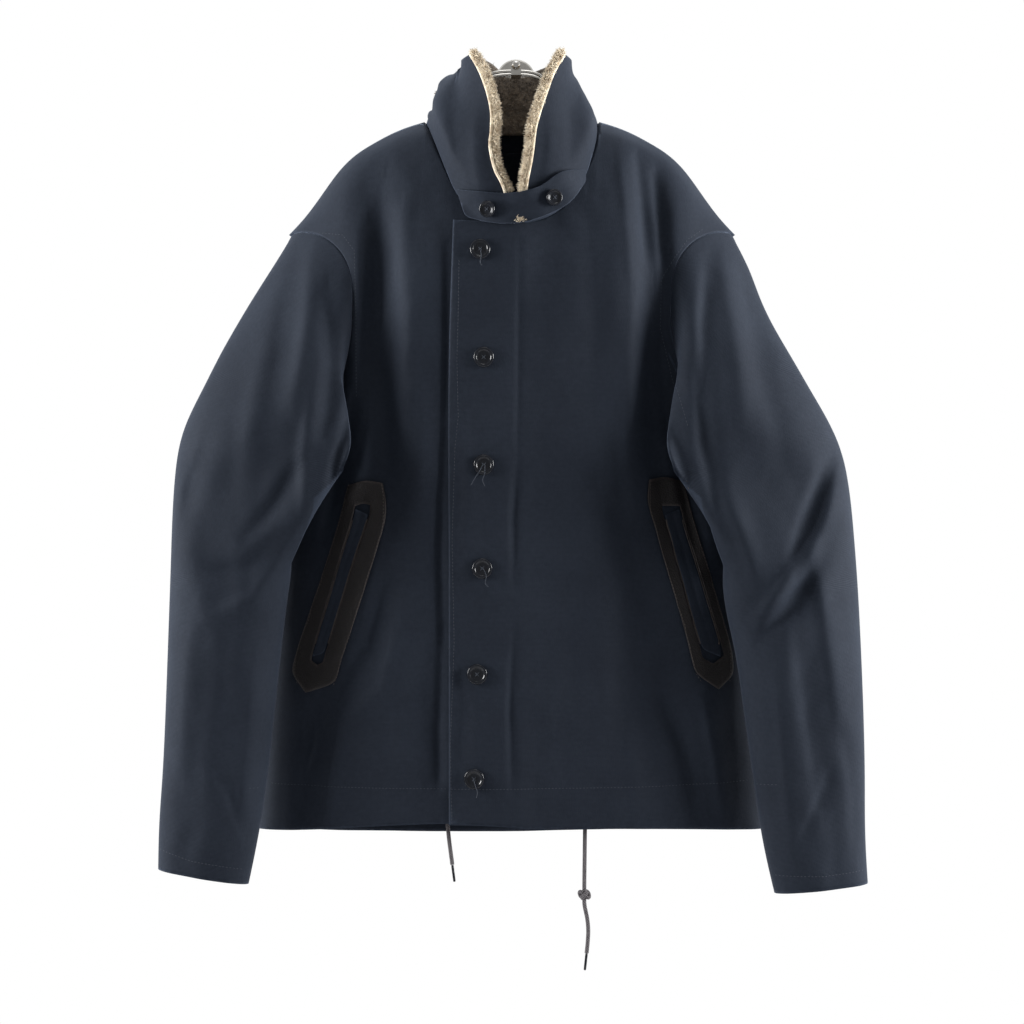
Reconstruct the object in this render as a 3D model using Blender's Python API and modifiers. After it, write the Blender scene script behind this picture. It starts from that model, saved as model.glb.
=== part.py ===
"""Deck jacket on a wire hanger that hangs from a wall peg.

Metres, +Z up, +X to the wearer's left, +Y into the wall. The peg's axis is the Y axis, and
the wall is at y = 0. The jacket is drawn in its own frame, whose y = 0 is the plane through
the front of the hanger, and an empty carries that frame out from the wall.
"""

import math

import bmesh
import bpy
import numpy as np
from mathutils import Vector
from mathutils.bvhtree import BVHTree

# Driving dimensions
JACKET_OUT = 0.092
MIDDLE = -0.004
CLOTH = 0.0028
SEAM = 0.0003
LAP = 0.0046
LAP_EDGE = -0.066
UNDER_EDGE = 0.002
TURN_FRONT = 0.22
TURN_BACK = 0.08
ROUND_POWER = 2.3
SEAT = 0.0005
NORMAL_STEP = 0.002
PANEL_POWER = 3.0
PEG_DIP = -0.0080
PEG_DIP_WIDTH = 0.0150
CLOSE_ROWS = 1.4
ARMPIT_SHARE = 0.42

# Steps along each seam, shared by the pieces on both of its sides
SHOULDER_STEPS = 8
NECK_FRONT_STEPS = 7
NECK_BACK_STEPS = 8
ARMHOLE_STEPS = 10
SIDE_STEPS = 13
LAP_TOP_STEPS = 4
UNDER_TOP_STEPS = 1
SLEEVE_STEPS = 20
COLLAR_STEPS = 8

# distance from the middle, height: the shoulder line from the neck out to the sleeve
SHOULDER = (
    (0.000, -0.050), (0.060, -0.051), (0.088, -0.054), (0.118, -0.064), (0.145, -0.079),
    (0.167, -0.094), (0.179, -0.109), (0.189, -0.124), (0.199, -0.139), (0.210, -0.153),
    (0.225, -0.168), (0.260, -0.215),
)
NECK_POINT = 0.088
SHOULDER_END = 0.2245

# height, half width, front depth, back depth, depth of the shoulder and side seams
BODY = (
    (-0.800, 0.266, 0.088, 0.040, 0.030), (-0.765, 0.265, 0.089, 0.040, 0.030),
    (-0.650, 0.258, 0.092, 0.042, 0.030), (-0.520, 0.250, 0.094, 0.046, 0.030),
    (-0.385, 0.243, 0.094, 0.052, 0.030), (-0.280, 0.252, 0.090, 0.055, 0.024),
    (-0.170, 0.270, 0.084, 0.054, 0.018), (-0.050, 0.290, 0.080, 0.054, 0.016),
    (0.020, 0.300, 0.080, 0.054, 0.016),
)
ARMPIT = -0.390
FOLD_FADE = 0.3
FULL_FOLD_FRONT = 0.04
FULL_FOLD_BACK = 0.03
HEM_SIDE = -0.764

# fold, from x, from z, to x, to z, half width, depth (a ridge is less than nothing)
FRONT_FOLDS = (
    ("right armhole valley", -0.133, -0.150, -0.127, -0.420, 0.016, 0.011),
    ("right armhole ridge", -0.150, -0.150, -0.152, -0.290, 0.009, -0.003),
    ("right chest ridge", -0.092, -0.190, -0.098, -0.460, 0.020, -0.006),
    ("right pocket arc", -0.128, -0.530, -0.170, -0.625, 0.013, 0.006),
    ("right hem hollow", -0.200, -0.640, -0.205, -0.700, 0.022, 0.008),
    ("left armhole valley", 0.132, -0.110, 0.136, -0.370, 0.018, 0.012),
    ("left valley foot", 0.136, -0.370, 0.168, -0.500, 0.020, 0.009),
    ("left chest ridge", 0.100, -0.170, 0.106, -0.420, 0.022, -0.005),
    ("left broad hollow", 0.135, -0.420, 0.120, -0.690, 0.036, 0.008),
    ("left hem ridge", 0.185, -0.600, 0.205, -0.740, 0.018, -0.005),
    ("left shoulder dent", 0.128, -0.085, 0.150, -0.135, 0.010, 0.005),
    ("right shoulder dent", -0.140, -0.095, -0.150, -0.150, 0.010, 0.005),
    ("lap crease", 0.003, -0.180, 0.000, -0.700, 0.009, 0.002),
)
BACK_FOLDS = (
    ("right blade valley", -0.120, -0.150, -0.135, -0.420, 0.022, 0.010),
    ("left blade valley", 0.125, -0.140, 0.130, -0.400, 0.022, 0.010),
    ("middle fall", 0.020, -0.120, 0.000, -0.500, 0.030, 0.005),
    ("right waist pull", -0.210, -0.430, -0.110, -0.520, 0.018, 0.006),
    ("left waist pull", 0.205, -0.440, 0.120, -0.560, 0.018, 0.006),
    ("right skirt ridge", -0.120, -0.560, -0.130, -0.760, 0.030, -0.006),
    ("left skirt ridge", 0.110, -0.580, 0.125, -0.760, 0.028, -0.006),
    ("middle skirt hollow", 0.010, -0.560, 0.000, -0.770, 0.030, 0.005),
)

# x, z of the neckline from the neck point down to the collar's end
NECKLINE_RIGHT = (
    (-0.092, -0.0545), (-0.083, -0.075), (-0.073, -0.102), (-0.061, -0.130), (-0.044, -0.151),
    (-0.024, -0.160), (-0.008, -0.162),
)
NECKLINE_LEFT = (
    (0.084, -0.0545), (0.080, -0.082), (0.070, -0.112), (0.054, -0.140), (0.030, -0.158),
    (0.018, -0.162), (0.008, -0.163),
)
BACK_NECK_Z = -0.080

# x, z of the front half of each armhole, from the shoulder to the armpit
ARMHOLE_FRONT = (
    (0.2245, -0.168), (0.209, -0.164), (0.193, -0.169), (0.174, -0.181), (0.161, -0.198),
    (0.156, -0.240), (0.158, -0.280), (0.168, -0.315), (0.188, -0.345), (0.214, -0.368),
    (0.2435, -0.390),
)
ARMHOLE_BACK = (
    (0.2245, -0.168), (0.207, -0.178), (0.190, -0.202), (0.181, -0.240), (0.180, -0.280),
    (0.187, -0.315), (0.200, -0.344), (0.219, -0.368), (0.2435, -0.390),
)

# x, z of the hems, from the front edge or from the middle out to the side seam
HEM_LEFT = (
    (-0.066, -0.753), (-0.030, -0.7535), (0.015, -0.757), (0.110, -0.7575), (0.190, -0.760),
)
HEM_RIGHT = ((0.002, -0.752), (-0.070, -0.752), (-0.160, -0.757), (-0.210, -0.761))
HEM_BACK = ((-0.190, -0.770), (-0.060, -0.7725), (0.060, -0.771), (0.180, -0.768))

# share of the sleeve's length, outer x, y, z, inner x, y, z, half depth
SLEEVE_RIGHT = (
    (0.00, -0.2285, 0.0170, -0.1680, -0.2470, 0.0300, -0.3900, 0.060),
    (0.06, -0.2450, 0.0060, -0.1990, -0.2630, 0.0160, -0.3960, 0.057),
    (0.13, -0.2700, -0.0100, -0.2450, -0.2560, -0.0100, -0.4170, 0.054),
    (0.20, -0.2940, -0.0220, -0.2900, -0.2380, -0.0320, -0.4420, 0.051),
    (0.27, -0.3150, -0.0310, -0.3350, -0.2260, -0.0450, -0.4720, 0.047),
    (0.33, -0.3300, -0.0370, -0.3650, -0.2200, -0.0520, -0.5000, 0.043),
    (0.40, -0.3365, -0.0420, -0.4080, -0.2225, -0.0530, -0.5260, 0.040),
    (0.52, -0.3405, -0.0460, -0.5130, -0.2286, -0.0520, -0.5820, 0.037),
    (0.65, -0.3435, -0.0470, -0.6000, -0.2355, -0.0500, -0.6470, 0.034),
    (0.80, -0.3475, -0.0460, -0.6950, -0.2440, -0.0470, -0.7160, 0.031),
    (0.93, -0.3520, -0.0450, -0.7600, -0.2540, -0.0450, -0.7750, 0.029),
    (1.00, -0.3527, -0.0440, -0.7976, -0.2621, -0.0440, -0.8124, 0.028),
)
SLEEVE_LEFT = (
    (0.00, 0.2205, 0.0170, -0.1680, 0.2390, 0.0300, -0.3900, 0.060),
    (0.06, 0.2350, 0.0060, -0.1990, 0.2550, 0.0160, -0.3960, 0.057),
    (0.13, 0.2480, -0.0100, -0.2450, 0.2480, -0.0100, -0.4170, 0.054),
    (0.20, 0.2720, -0.0220, -0.2900, 0.2280, -0.0320, -0.4420, 0.051),
    (0.27, 0.2970, -0.0310, -0.3350, 0.2120, -0.0450, -0.4720, 0.048),
    (0.33, 0.3140, -0.0370, -0.3650, 0.2030, -0.0540, -0.5000, 0.045),
    (0.40, 0.3250, -0.0420, -0.4000, 0.2020, -0.0570, -0.5300, 0.042),
    (0.52, 0.3345, -0.0460, -0.4900, 0.2130, -0.0560, -0.5860, 0.039),
    (0.65, 0.3400, -0.0470, -0.5900, 0.2220, -0.0530, -0.6480, 0.036),
    (0.80, 0.3435, -0.0460, -0.6950, 0.2325, -0.0500, -0.7170, 0.033),
    (0.93, 0.3440, -0.0450, -0.7700, 0.2430, -0.0470, -0.7800, 0.030),
    (1.00, 0.3467, -0.0440, -0.8114, 0.2531, -0.0440, -0.8213, 0.028),
)
# share of the sleeve's length, how far the cloth below the front armhole drapes over the body
SLEEVE_DRAPE = (
    (0.00, 0.000), (0.06, 0.018), (0.12, 0.030), (0.20, 0.030), (0.28, 0.022), (0.36, 0.010),
    (0.46, 0.000), (1.00, 0.000),
)
BODY_CLEAR = 0.009
HOLE_TOP = -0.195
# fold, from angle (degrees round from the outside, front first), share of length, to the same,
# half widths round and along, depth
SLEEVE_FOLDS = (
    ("armpit pull", 112.0, 0.10, 70.0, 0.34, 15.0, 0.05, 0.009),
    ("upper ridge", 62.0, 0.05, 48.0, 0.36, 14.0, 0.05, -0.005),
    ("elbow crease", 30.0, 0.36, 84.0, 0.50, 14.0, 0.04, 0.007),
    ("elbow ridge", 40.0, 0.45, 120.0, 0.60, 14.0, 0.04, -0.005),
    ("fore arm fall", 80.0, 0.60, 66.0, 0.95, 16.0, 0.10, 0.004),
    ("back elbow crease", 330.0, 0.36, 262.0, 0.48, 16.0, 0.04, 0.006),
    ("back arm fall", 280.0, 0.10, 290.0, 0.40, 18.0, 0.06, 0.006),
)

# x, y, z up the collar's two front edges and round its top
COLLAR_EDGE_RIGHT = (
    (-0.0080, -0.068, -0.1560), (-0.0085, -0.069, -0.1330), (-0.0200, -0.068, -0.1130),
    (-0.0255, -0.066, -0.0890), (-0.0240, -0.064, -0.0710), (-0.0230, -0.061, -0.0560),
    (-0.0295, -0.056, -0.0280), (-0.0365, -0.048, -0.0090), (-0.0455, -0.038, 0.0065),
)
COLLAR_EDGE_LEFT = (
    (0.0080, -0.071, -0.1560), (0.0085, -0.072, -0.1330), (0.0150, -0.070, -0.1030),
    (0.0175, -0.067, -0.0860), (0.0185, -0.065, -0.0700), (0.0225, -0.062, -0.0560),
    (0.0285, -0.056, -0.0380), (0.0360, -0.048, -0.0160), (0.0480, -0.038, 0.0065),
)
COLLAR_TOP = (
    (-0.0455, -0.038, 0.0065), (-0.0540, -0.012, 0.0050), (-0.0545, 0.014, 0.0070),
    (-0.0460, 0.040, 0.0110), (-0.0300, 0.056, 0.0100), (-0.0120, 0.062, -0.0046),
    (0.0100, 0.063, -0.0052), (0.0260, 0.058, 0.0010), (0.0430, 0.044, 0.0060),
    (0.0550, 0.016, 0.0060), (0.0550, -0.012, 0.0050), (0.0480, -0.038, 0.0065),
)
COLLAR_BULGE = 0.008

# pile facing: distance past the collar's edge, outward, thickness
PILE_ROLL = (
    (0.0010, -0.0031, 0.0070), (0.0040, -0.0012, 0.0085), (0.0085, -0.0012, 0.0080),
    (0.0120, -0.0040, 0.0040),
)
PILE_COLUMNS = 6
PILE = 0.0070
LINING = 0.0045
LINING_GAP = 0.0007
PILE_REACH = 0.0125

BUTTON = 0.010
TAB_BUTTON = 0.008
# x, z of the buttons down the lap, and the two on the chin tab
FRONT_BUTTONS = (
    (-0.0350, -0.1895), (-0.0315, -0.2947), (-0.0315, -0.3998), (-0.0330, -0.5012),
    (-0.0378, -0.6046), (-0.0407, -0.7070),
)
TAB_BUTTONS = ((-0.0268, -0.1492), (0.0362, -0.1386))
# radius, height of a button's turned face, as shares of its radius
BUTTON_PROFILE = (
    (0.0, 0.30), (0.42, 0.28), (0.60, 0.50), (0.86, 0.50), (1.0, 0.30), (0.92, 0.0), (0.0, 0.0),
)

# x, z of the chin tab's lower and upper edges, from its buttoned right end to its point
TAB_LOWER = (
    (-0.0500, -0.1560), (-0.0230, -0.1630), (0.0060, -0.1630), (0.0320, -0.1550),
    (0.0540, -0.1420), (0.0690, -0.1200),
)
TAB_UPPER = (
    (-0.0590, -0.1290), (-0.0330, -0.1330), (-0.0040, -0.1345), (0.0240, -0.1280),
    (0.0440, -0.1130), (0.0690, -0.1090),
)
TAB_THICK = 0.0024
TAB_LIFT = 0.0012
TAB_STEPS = 14
TAB_ROWS = 4
TAB_FLAT = 0.003

# x, z round each pocket's leather frame, outside and inside, from its top edge round by the middle
POCKET_RIGHT = (
    ((-0.1480, -0.4145), (-0.1505, -0.4375)), ((-0.1310, -0.4175), (-0.1435, -0.4390)),
    ((-0.1275, -0.4360), (-0.1440, -0.4480)), ((-0.1279, -0.4539), (-0.1473, -0.4580)),
    ((-0.1377, -0.4863), (-0.1573, -0.4863)), ((-0.1525, -0.5335), (-0.1719, -0.5335)),
    ((-0.1633, -0.5660), (-0.1820, -0.5660)), ((-0.1721, -0.5915), (-0.1885, -0.5860)),
    ((-0.1780, -0.6151), (-0.1908, -0.5945)), ((-0.2085, -0.6250), (-0.1965, -0.5970)),
    ((-0.2233, -0.6053), (-0.2026, -0.5925)), ((-0.2174, -0.5827), (-0.1998, -0.5800)),
    ((-0.1987, -0.5286), (-0.1841, -0.5286)), ((-0.1849, -0.4883), (-0.1724, -0.4883)),
    ((-0.1731, -0.4489), (-0.1610, -0.4520)), ((-0.1660, -0.4200), (-0.1584, -0.4401)),
)
POCKET_LEFT = (
    ((0.1480, -0.4110), (0.1540, -0.4400)), ((0.1310, -0.4140), (0.1440, -0.4400)),
    ((0.1290, -0.4350), (0.1450, -0.4480)), ((0.1381, -0.4647), (0.1484, -0.4580)),
    ((0.1445, -0.4880), (0.1560, -0.4880)), ((0.1514, -0.5119), (0.1625, -0.5119)),
    ((0.1661, -0.5610), (0.1760, -0.5610)), ((0.1720, -0.5860), (0.1818, -0.5800)),
    ((0.1769, -0.6053), (0.1840, -0.5900)), ((0.2005, -0.6215), (0.1950, -0.5960)),
    ((0.2163, -0.6073), (0.2060, -0.5880)), ((0.2150, -0.5840), (0.2030, -0.5760)),
    ((0.1990, -0.5300), (0.1890, -0.5300)), ((0.1870, -0.4900), (0.1770, -0.4900)),
    ((0.1750, -0.4500), (0.1660, -0.4560)), ((0.1661, -0.4160), (0.1620, -0.4400)),
)
POCKET_THICK = 0.0016
POCKET_LIFT = 0.0010
WELT_THICK = 0.0012
WELT_STEPS = 16
# share of the way across the window, how far the welts' face sinks there
WELT_SECTION = ((0.09, 0.0), (0.36, 0.0), (0.50, 0.0007), (0.64, 0.0), (0.91, 0.0))

# Blender's bevel resolution of a tube: each quarter of it has one side more
TUBE_SIDES = 2
CORD = 0.0040
AGLET = 0.0026
# x, depth from its eyelet, z of each drawstring down to its aglet
DRAWSTRING_RIGHT = (
    (-0.0680, 0.0000, -0.7340), (-0.0680, 0.0024, -0.7340), (-0.0680, 0.0052, -0.7352),
    (-0.0679, 0.0076, -0.7390), (-0.0676, 0.0080, -0.7470), (-0.0668, 0.0075, -0.7600),
    (-0.0655, 0.0068, -0.7720), (-0.0640, 0.0060, -0.7830), (-0.0627, 0.0055, -0.7930),
)
DRAWSTRING_LEFT = (
    (0.0682, 0.0000, -0.7300), (0.0682, 0.0024, -0.7300), (0.0682, 0.0052, -0.7312),
    (0.0681, 0.0076, -0.7350), (0.0680, 0.0080, -0.7440), (0.0678, 0.0075, -0.7620),
    (0.0675, 0.0065, -0.7850), (0.0672, 0.0060, -0.8100), (0.0672, 0.0058, -0.8225),
    (0.0674, 0.0056, -0.8330), (0.0700, 0.0054, -0.8460), (0.0710, 0.0053, -0.8580),
    (0.0704, 0.0052, -0.8700), (0.0694, 0.0052, -0.8800),
)
KNOT_Z = -0.8225
# radius, height of the knot's outer shape, down its outside and up its hole
KNOT_PROFILE = (
    (0.0045, 0.0052), (0.0062, 0.0020), (0.0064, -0.0018), (0.0044, -0.0060),
    (0.0027, -0.0060), (0.0027, 0.0052),
)
AGLET_LENGTH = 0.0165
EYELET_RIM = 0.0025
EYELET_THICK = 0.0010

WIRE = 0.0038
WIRE_Z = -0.0052
WIRE_APART = 0.0240
WIRE_CLEAR = 0.0012
WIRE_STEPS = 20
# distance from the middle, height of the hanger's wires: at the neck, then at most along the arm
WIRE_NECK = (
    (0.0000, WIRE_Z), (0.0080, WIRE_Z), (0.0160, WIRE_Z), (0.0210, WIRE_Z), (0.0250, -0.0072),
    (0.0300, -0.0120), (0.0450, -0.0350), (0.0620, -0.0620), (0.0760, -0.0810),
)
WIRE_ARM = (
    (0.0920, -0.0880), (0.1150, -0.0905), (0.1400, -0.0960), (0.1600, -0.1050),
    (0.1780, -0.1200), (0.1920, -0.1400),
)
BLOCK_WIDTH = 0.0100
ROD = 0.0056
KNOB = 0.0086
KNOB_LENGTH = 0.0045
PLATE = 0.040
PLATE_THICK = 0.004

NAVY = (0.021, 0.027, 0.042)
NAVY_DARK = (0.015, 0.019, 0.030)
CREAM = (0.62, 0.52, 0.38)
BROWN = (0.115, 0.080, 0.050)
LEATHER = (0.020, 0.014, 0.012)
GLOSS_BLACK = (0.012, 0.013, 0.016)
CORD_GREY = (0.075, 0.068, 0.075)
STEEL = (0.62, 0.60, 0.56)


def clear_scene():
    """Remove whatever the new file holds."""
    for thing in list(bpy.data.objects):
        bpy.data.objects.remove(thing)


def finish(name, color, roughness, metallic=0.0):
    """The material of one piece."""
    material = bpy.data.materials.new(name)
    material.use_nodes = True
    shader = material.node_tree.nodes["Principled BSDF"]
    shader.inputs["Base Color"].default_value = (*color, 1.0)
    shader.inputs["Roughness"].default_value = roughness
    shader.inputs["Metallic"].default_value = metallic
    return material


def place(name, data, material, carrier):
    """Name a piece, give it its finish and hang it on the jacket's frame."""
    piece = bpy.data.objects.new(name, data)
    data.materials.append(material)
    carrier["collection"].objects.link(piece)
    piece.parent = carrier["empty"]
    return piece


def smooth_step(at):
    at = np.clip(at, 0.0, 1.0)
    return at * at * (3.0 - 2.0 * at)


def read(table, column, at):
    """A column of a table, read at any place by a smooth curve through its rows."""
    rows = np.array([[value for value in row if not isinstance(value, str)] for row in table])
    x = rows[:, 0]
    y = rows[:, column]
    slope = np.gradient(y, x)
    at = np.clip(at, x[0], x[-1])
    i = np.clip(np.searchsorted(x, at) - 1, 0, len(x) - 2)
    step = x[i + 1] - x[i]
    t = (at - x[i]) / step
    start = y[i] * (1 + 2 * t) * (1 - t) ** 2 + slope[i] * step * t * (1 - t) ** 2
    end = y[i + 1] * t * t * (3 - 2 * t) + slope[i + 1] * step * t * t * (t - 1)
    return start + end


def curve(points, steps, shares=None):
    """Points along a smooth curve through the given ones, evenly or at the given shares of its length."""
    p = np.array(points, float)
    along = np.concatenate([[0.0], np.cumsum(np.linalg.norm(np.diff(p, axis=0), axis=1))])
    fine = np.linspace(0.0, along[-1], 400)
    table = np.column_stack([along, p])
    line = np.column_stack([read(table, k, fine) for k in range(1, p.shape[1] + 1)])
    length = np.concatenate([[0.0], np.cumsum(np.linalg.norm(np.diff(line, axis=0), axis=1))])
    at = np.linspace(0.0, 1.0, steps + 1) if shares is None else shares
    return np.column_stack([np.interp(at * length[-1], length, line[:, k]) for k in range(p.shape[1])])


def hole_shares():
    """Shares of an armhole's length, closer together at the shoulder."""
    return np.linspace(0.0, 1.0, ARMHOLE_STEPS + 1) ** CLOSE_ROWS


def edge_shares():
    """Shares of a front edge's length that go down with the armhole's and then with the side seam's."""
    low = ARMPIT_SHARE + (1 - ARMPIT_SHARE) * np.linspace(0.0, 1.0, SIDE_STEPS + 1)
    return np.concatenate([ARMPIT_SHARE * hole_shares(), low[1:]])


def shoulder_height(x):
    return read(SHOULDER, 1, np.abs(x - MIDDLE))


def fold_depth(folds, x, z):
    """How far the folds push the cloth in at a place on the front or the back."""
    depth = np.zeros_like(np.asarray(x, float))
    for _, x0, z0, x1, z1, width, into in folds:
        length = math.hypot(x1 - x0, z1 - z0)
        ux = (x1 - x0) / length
        uz = (z1 - z0) / length
        along = (x - x0) * ux + (z - z0) * uz
        across = (x - x0) * uz - (z - z0) * ux
        reach = FOLD_FADE * length
        fade_in = smooth_step(along / reach + 0.5)
        fade_out = smooth_step((length - along) / reach + 0.5)
        depth = depth + into * np.exp(-((across / width) ** 2)) * (fade_in * fade_out)
    return depth


def turn(drop, height):
    """How far out the cloth has come at a drop below the shoulder line: a quarter round."""
    share = np.clip(drop / height, 0.0, 1.0)
    return np.sqrt(np.clip(1.0 - (1.0 - share) ** 2, 0.0, 1.0))


def body_depth(x, z, front):
    """The y of the body's outer surface at a place seen from the front or the back."""
    half = read(BODY, 1, z)
    across = np.clip(np.abs(x - MIDDLE) / half, 0.0, 1.0)
    girth = np.sqrt(np.clip(1.0 - across**ROUND_POWER, 0.0, 1.0))
    drop = shoulder_height(x) - z
    seam = read(BODY, 4, z)
    if front:
        out = read(BODY, 2, z) * girth * turn(drop, TURN_FRONT)
        into = fold_depth(FRONT_FOLDS, x, z)
        return seam - out + into * np.clip(out / FULL_FOLD_FRONT, 0.0, 1.0)
    out = read(BODY, 3, z) * girth * turn(drop, TURN_BACK)
    into = fold_depth(BACK_FOLDS, x, z)
    return seam + out - into * np.clip(out / FULL_FOLD_BACK, 0.0, 1.0)


def lap_depth(x, z):
    """The front surface with the lap's lift over the right front."""
    lift = LAP * (1.0 - smooth_step((x - UNDER_EDGE - 0.002) / 0.018))
    return body_depth(x, z, True) - lift


def mirrored(points, side):
    """Points given by their distance from the middle, on the right side (-1) or the left (+1)."""
    return [(MIDDLE + side * x, z) for x, z in points]


def seam_lines(side):
    """The x, z lines that bound the panels on one side, sampled as their neighbours are."""
    x = MIDDLE + side * np.linspace(NECK_POINT, SHOULDER_END, SHOULDER_STEPS + 1)
    shoulder = np.column_stack([x, shoulder_height(x)])
    front = curve(mirrored(ARMHOLE_FRONT, side), ARMHOLE_STEPS, hole_shares())
    back = curve(mirrored(ARMHOLE_BACK, side), ARMHOLE_STEPS, hole_shares())
    z = np.linspace(ARMPIT, HEM_SIDE, SIDE_STEPS + 1)
    side_seam = np.column_stack([MIDDLE + side * read(BODY, 1, z), z])
    front[0] = back[0] = shoulder[-1]
    front[-1] = back[-1] = side_seam[0]
    return {"shoulder": shoulder, "front": front, "back": back, "side": side_seam}


def joined(*lines):
    """Lines end to end, each shared point kept once."""
    return np.concatenate([lines[0]] + [line[1:] for line in lines[1:]])


def coons(top, bottom, left, right, shares, power=1.0, right_power=1.0):
    """Fill the four edges of a piece with rows of points.

    A power above 1 lets the top's shape go early, and the right edge's shape stay near that edge.
    """
    u = (np.linspace(0.0, 1.0, len(top)) ** right_power)[None, :, None]
    v = (1.0 - (1.0 - shares) ** power)[:, None, None]
    down = (1 - v) * top[None] + v * bottom[None]
    across = (1 - u) * left[:, None] + u * right[:, None]
    corners = (1 - u) * ((1 - v) * top[0] + v * bottom[0]) + u * ((1 - v) * top[-1] + v * bottom[-1])
    return down + across - corners


def hem_line(points, side_end, steps):
    return curve(list(points) + [tuple(side_end)], steps)


def front_rows(side, seams):
    """Rows of points of a front, shoulder to hem and from the front edge to the side."""
    left = side > 0
    neck = curve(NECKLINE_LEFT if left else NECKLINE_RIGHT, NECK_FRONT_STEPS)
    neck[0] = seams["shoulder"][0]
    hem_points = HEM_LEFT if left else HEM_RIGHT
    edge = LAP_EDGE if left else UNDER_EDGE
    corner = (edge + 0.004, -0.159) if left else (edge, -0.162)
    top_steps = LAP_TOP_STEPS if left else UNDER_TOP_STEPS
    lap_top = curve([corner, tuple(neck[-1])], top_steps)
    top = joined(lap_top, neck[::-1], seams["shoulder"])
    fall_points = [corner, (edge, -0.30), (edge, -0.50), hem_points[0]]
    fall = curve(fall_points, ARMHOLE_STEPS + SIDE_STEPS, edge_shares())
    outer = joined(seams["front"], seams["side"])
    hem = hem_line(hem_points, outer[-1], len(top) - 1)
    flat = coons(top, hem, fall, outer, edge_shares(), PANEL_POWER, PANEL_POWER)
    x = flat[..., 0]
    z = flat[..., 1]
    y = lap_depth(x, z) if left else body_depth(x, z, True)
    return np.stack([x, y, z], axis=-1)


def back_neck():
    """The back neckline from the right neck point to the left one."""
    low = (MIDDLE, BACK_NECK_Z)
    left = MIDDLE + NECK_POINT
    right = MIDDLE - NECK_POINT
    top = float(shoulder_height(left))
    points = [(right, top), (right + 0.030, top - 0.018), low, (left - 0.030, top - 0.018), (left, top)]
    return curve(points, NECK_BACK_STEPS)


def back_rows(right, left):
    """Rows of points of the back, from the right side over to the left."""
    top = joined(right["shoulder"][::-1], back_neck(), left["shoulder"])
    outer_right = joined(right["back"], right["side"])
    outer_left = joined(left["back"], left["side"])
    points = [tuple(outer_right[-1])] + list(HEM_BACK)
    hem = hem_line(points, outer_left[-1], len(top) - 1)
    flat = coons(top, hem, outer_right, outer_left, edge_shares(), PANEL_POWER)
    x = flat[..., 0]
    z = flat[..., 1]
    return np.stack([x, body_depth(x, z, False), z], axis=-1)


def sleeve_rows(side, front, back):
    """Rings of points down a sleeve, the first one on the armhole's own points."""
    table = SLEEVE_LEFT if side > 0 else SLEEVE_RIGHT
    half_round = hole_shares() * math.pi
    angle = np.concatenate([half_round, 2 * math.pi - half_round[-2:0:-1]])
    column = 0 if side < 0 else -1
    hole = np.concatenate([front[:ARMHOLE_STEPS + 1, -1], back[ARMHOLE_STEPS - 1:0:-1, column]])
    rings = []
    base_ring = None
    for k in range(SLEEVE_STEPS + 1):
        share = (k / SLEEVE_STEPS) ** 1.15
        outer = np.array([read(table, c, share) for c in (1, 2, 3)])
        inner = np.array([read(table, c, share) for c in (4, 5, 6)])
        if k == 0:
            outer, inner = hole[0], hole[ARMHOLE_STEPS]
        depth = read(table, 7, share)
        middle = (outer + inner) / 2
        reach = (outer - inner) / 2
        ring = middle + np.cos(angle)[:, None] * reach
        ring[:, 1] -= depth * np.sin(angle)
        if k == 0:
            base_ring = hole - ring
        fade = sleeve_fade(angle, share)
        ring = ring + base_ring * fade[:, None]
        over = np.exp(-(((np.degrees(angle) - 118.0) / 38.0) ** 2))
        ring[:, 0] -= side * read(SLEEVE_DRAPE, 1, share) * over
        into = sleeve_fold_depth(np.degrees(angle), share)
        away = ring - middle
        away[:, 2] *= 0.3
        ring = ring - away / np.linalg.norm(away, axis=1)[:, None] * into[:, None]
        rings.append(clear_of_body(ring, side, share))
    rings[0] = hole
    return np.array(rings)


def sleeve_fade(angle, share):
    """How much of the armhole's own shape a ring keeps: most in front, least at the back below."""
    front = np.clip(np.sin(angle), 0.0, 1.0)
    low = np.clip(-np.cos(angle), 0.0, 1.0)
    behind = np.clip(-np.sin(angle), 0.0, 1.0)
    start = 0.20 * front
    length = 0.12 + 0.18 * front - 0.05 * low * (1 - front) + 0.06 * behind * (1 - low)
    return 1.0 - smooth_step((share - start) / length)


def panel_half(z, table):
    """How far out from the middle a panel reaches: to its armhole above the armpit, then to its side."""
    hole = np.array([point for point in table if point[1] < HOLE_TOP])[::-1]
    return np.where(z < ARMPIT, read(BODY, 1, z), np.interp(z, hole[:, 1], hole[:, 0]))


def clear_of_body(ring, side, share):
    """Bring a ring's points out of the body's space: forwards, outwards or back, the shortest way."""
    clear = BODY_CLEAR * float(smooth_step(share / 0.05))
    x = ring[:, 0]
    y = ring[:, 1]
    z = ring[:, 2]
    off = np.abs(x - MIDDLE)
    middle_depth = read(BODY, 4, z)
    for front, table in ((True, ARMHOLE_FRONT), (False, ARMHOLE_BACK)):
        skin = body_depth(x, z, front)
        skin = skin - clear if front else skin + clear
        outside = panel_half(z, table) + clear
        near = (y < middle_depth) if front else (y >= middle_depth)
        inside = (y > skin) if front else (y < skin)
        within = near & inside & (off < outside) & (z < HOLE_TOP)
        go_out = within & (outside - off < np.abs(y - skin))
        go_on = within & ~go_out
        ring[go_out, 0] = MIDDLE + side * outside[go_out]
        ring[go_on, 1] = skin[go_on]
    return ring


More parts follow.
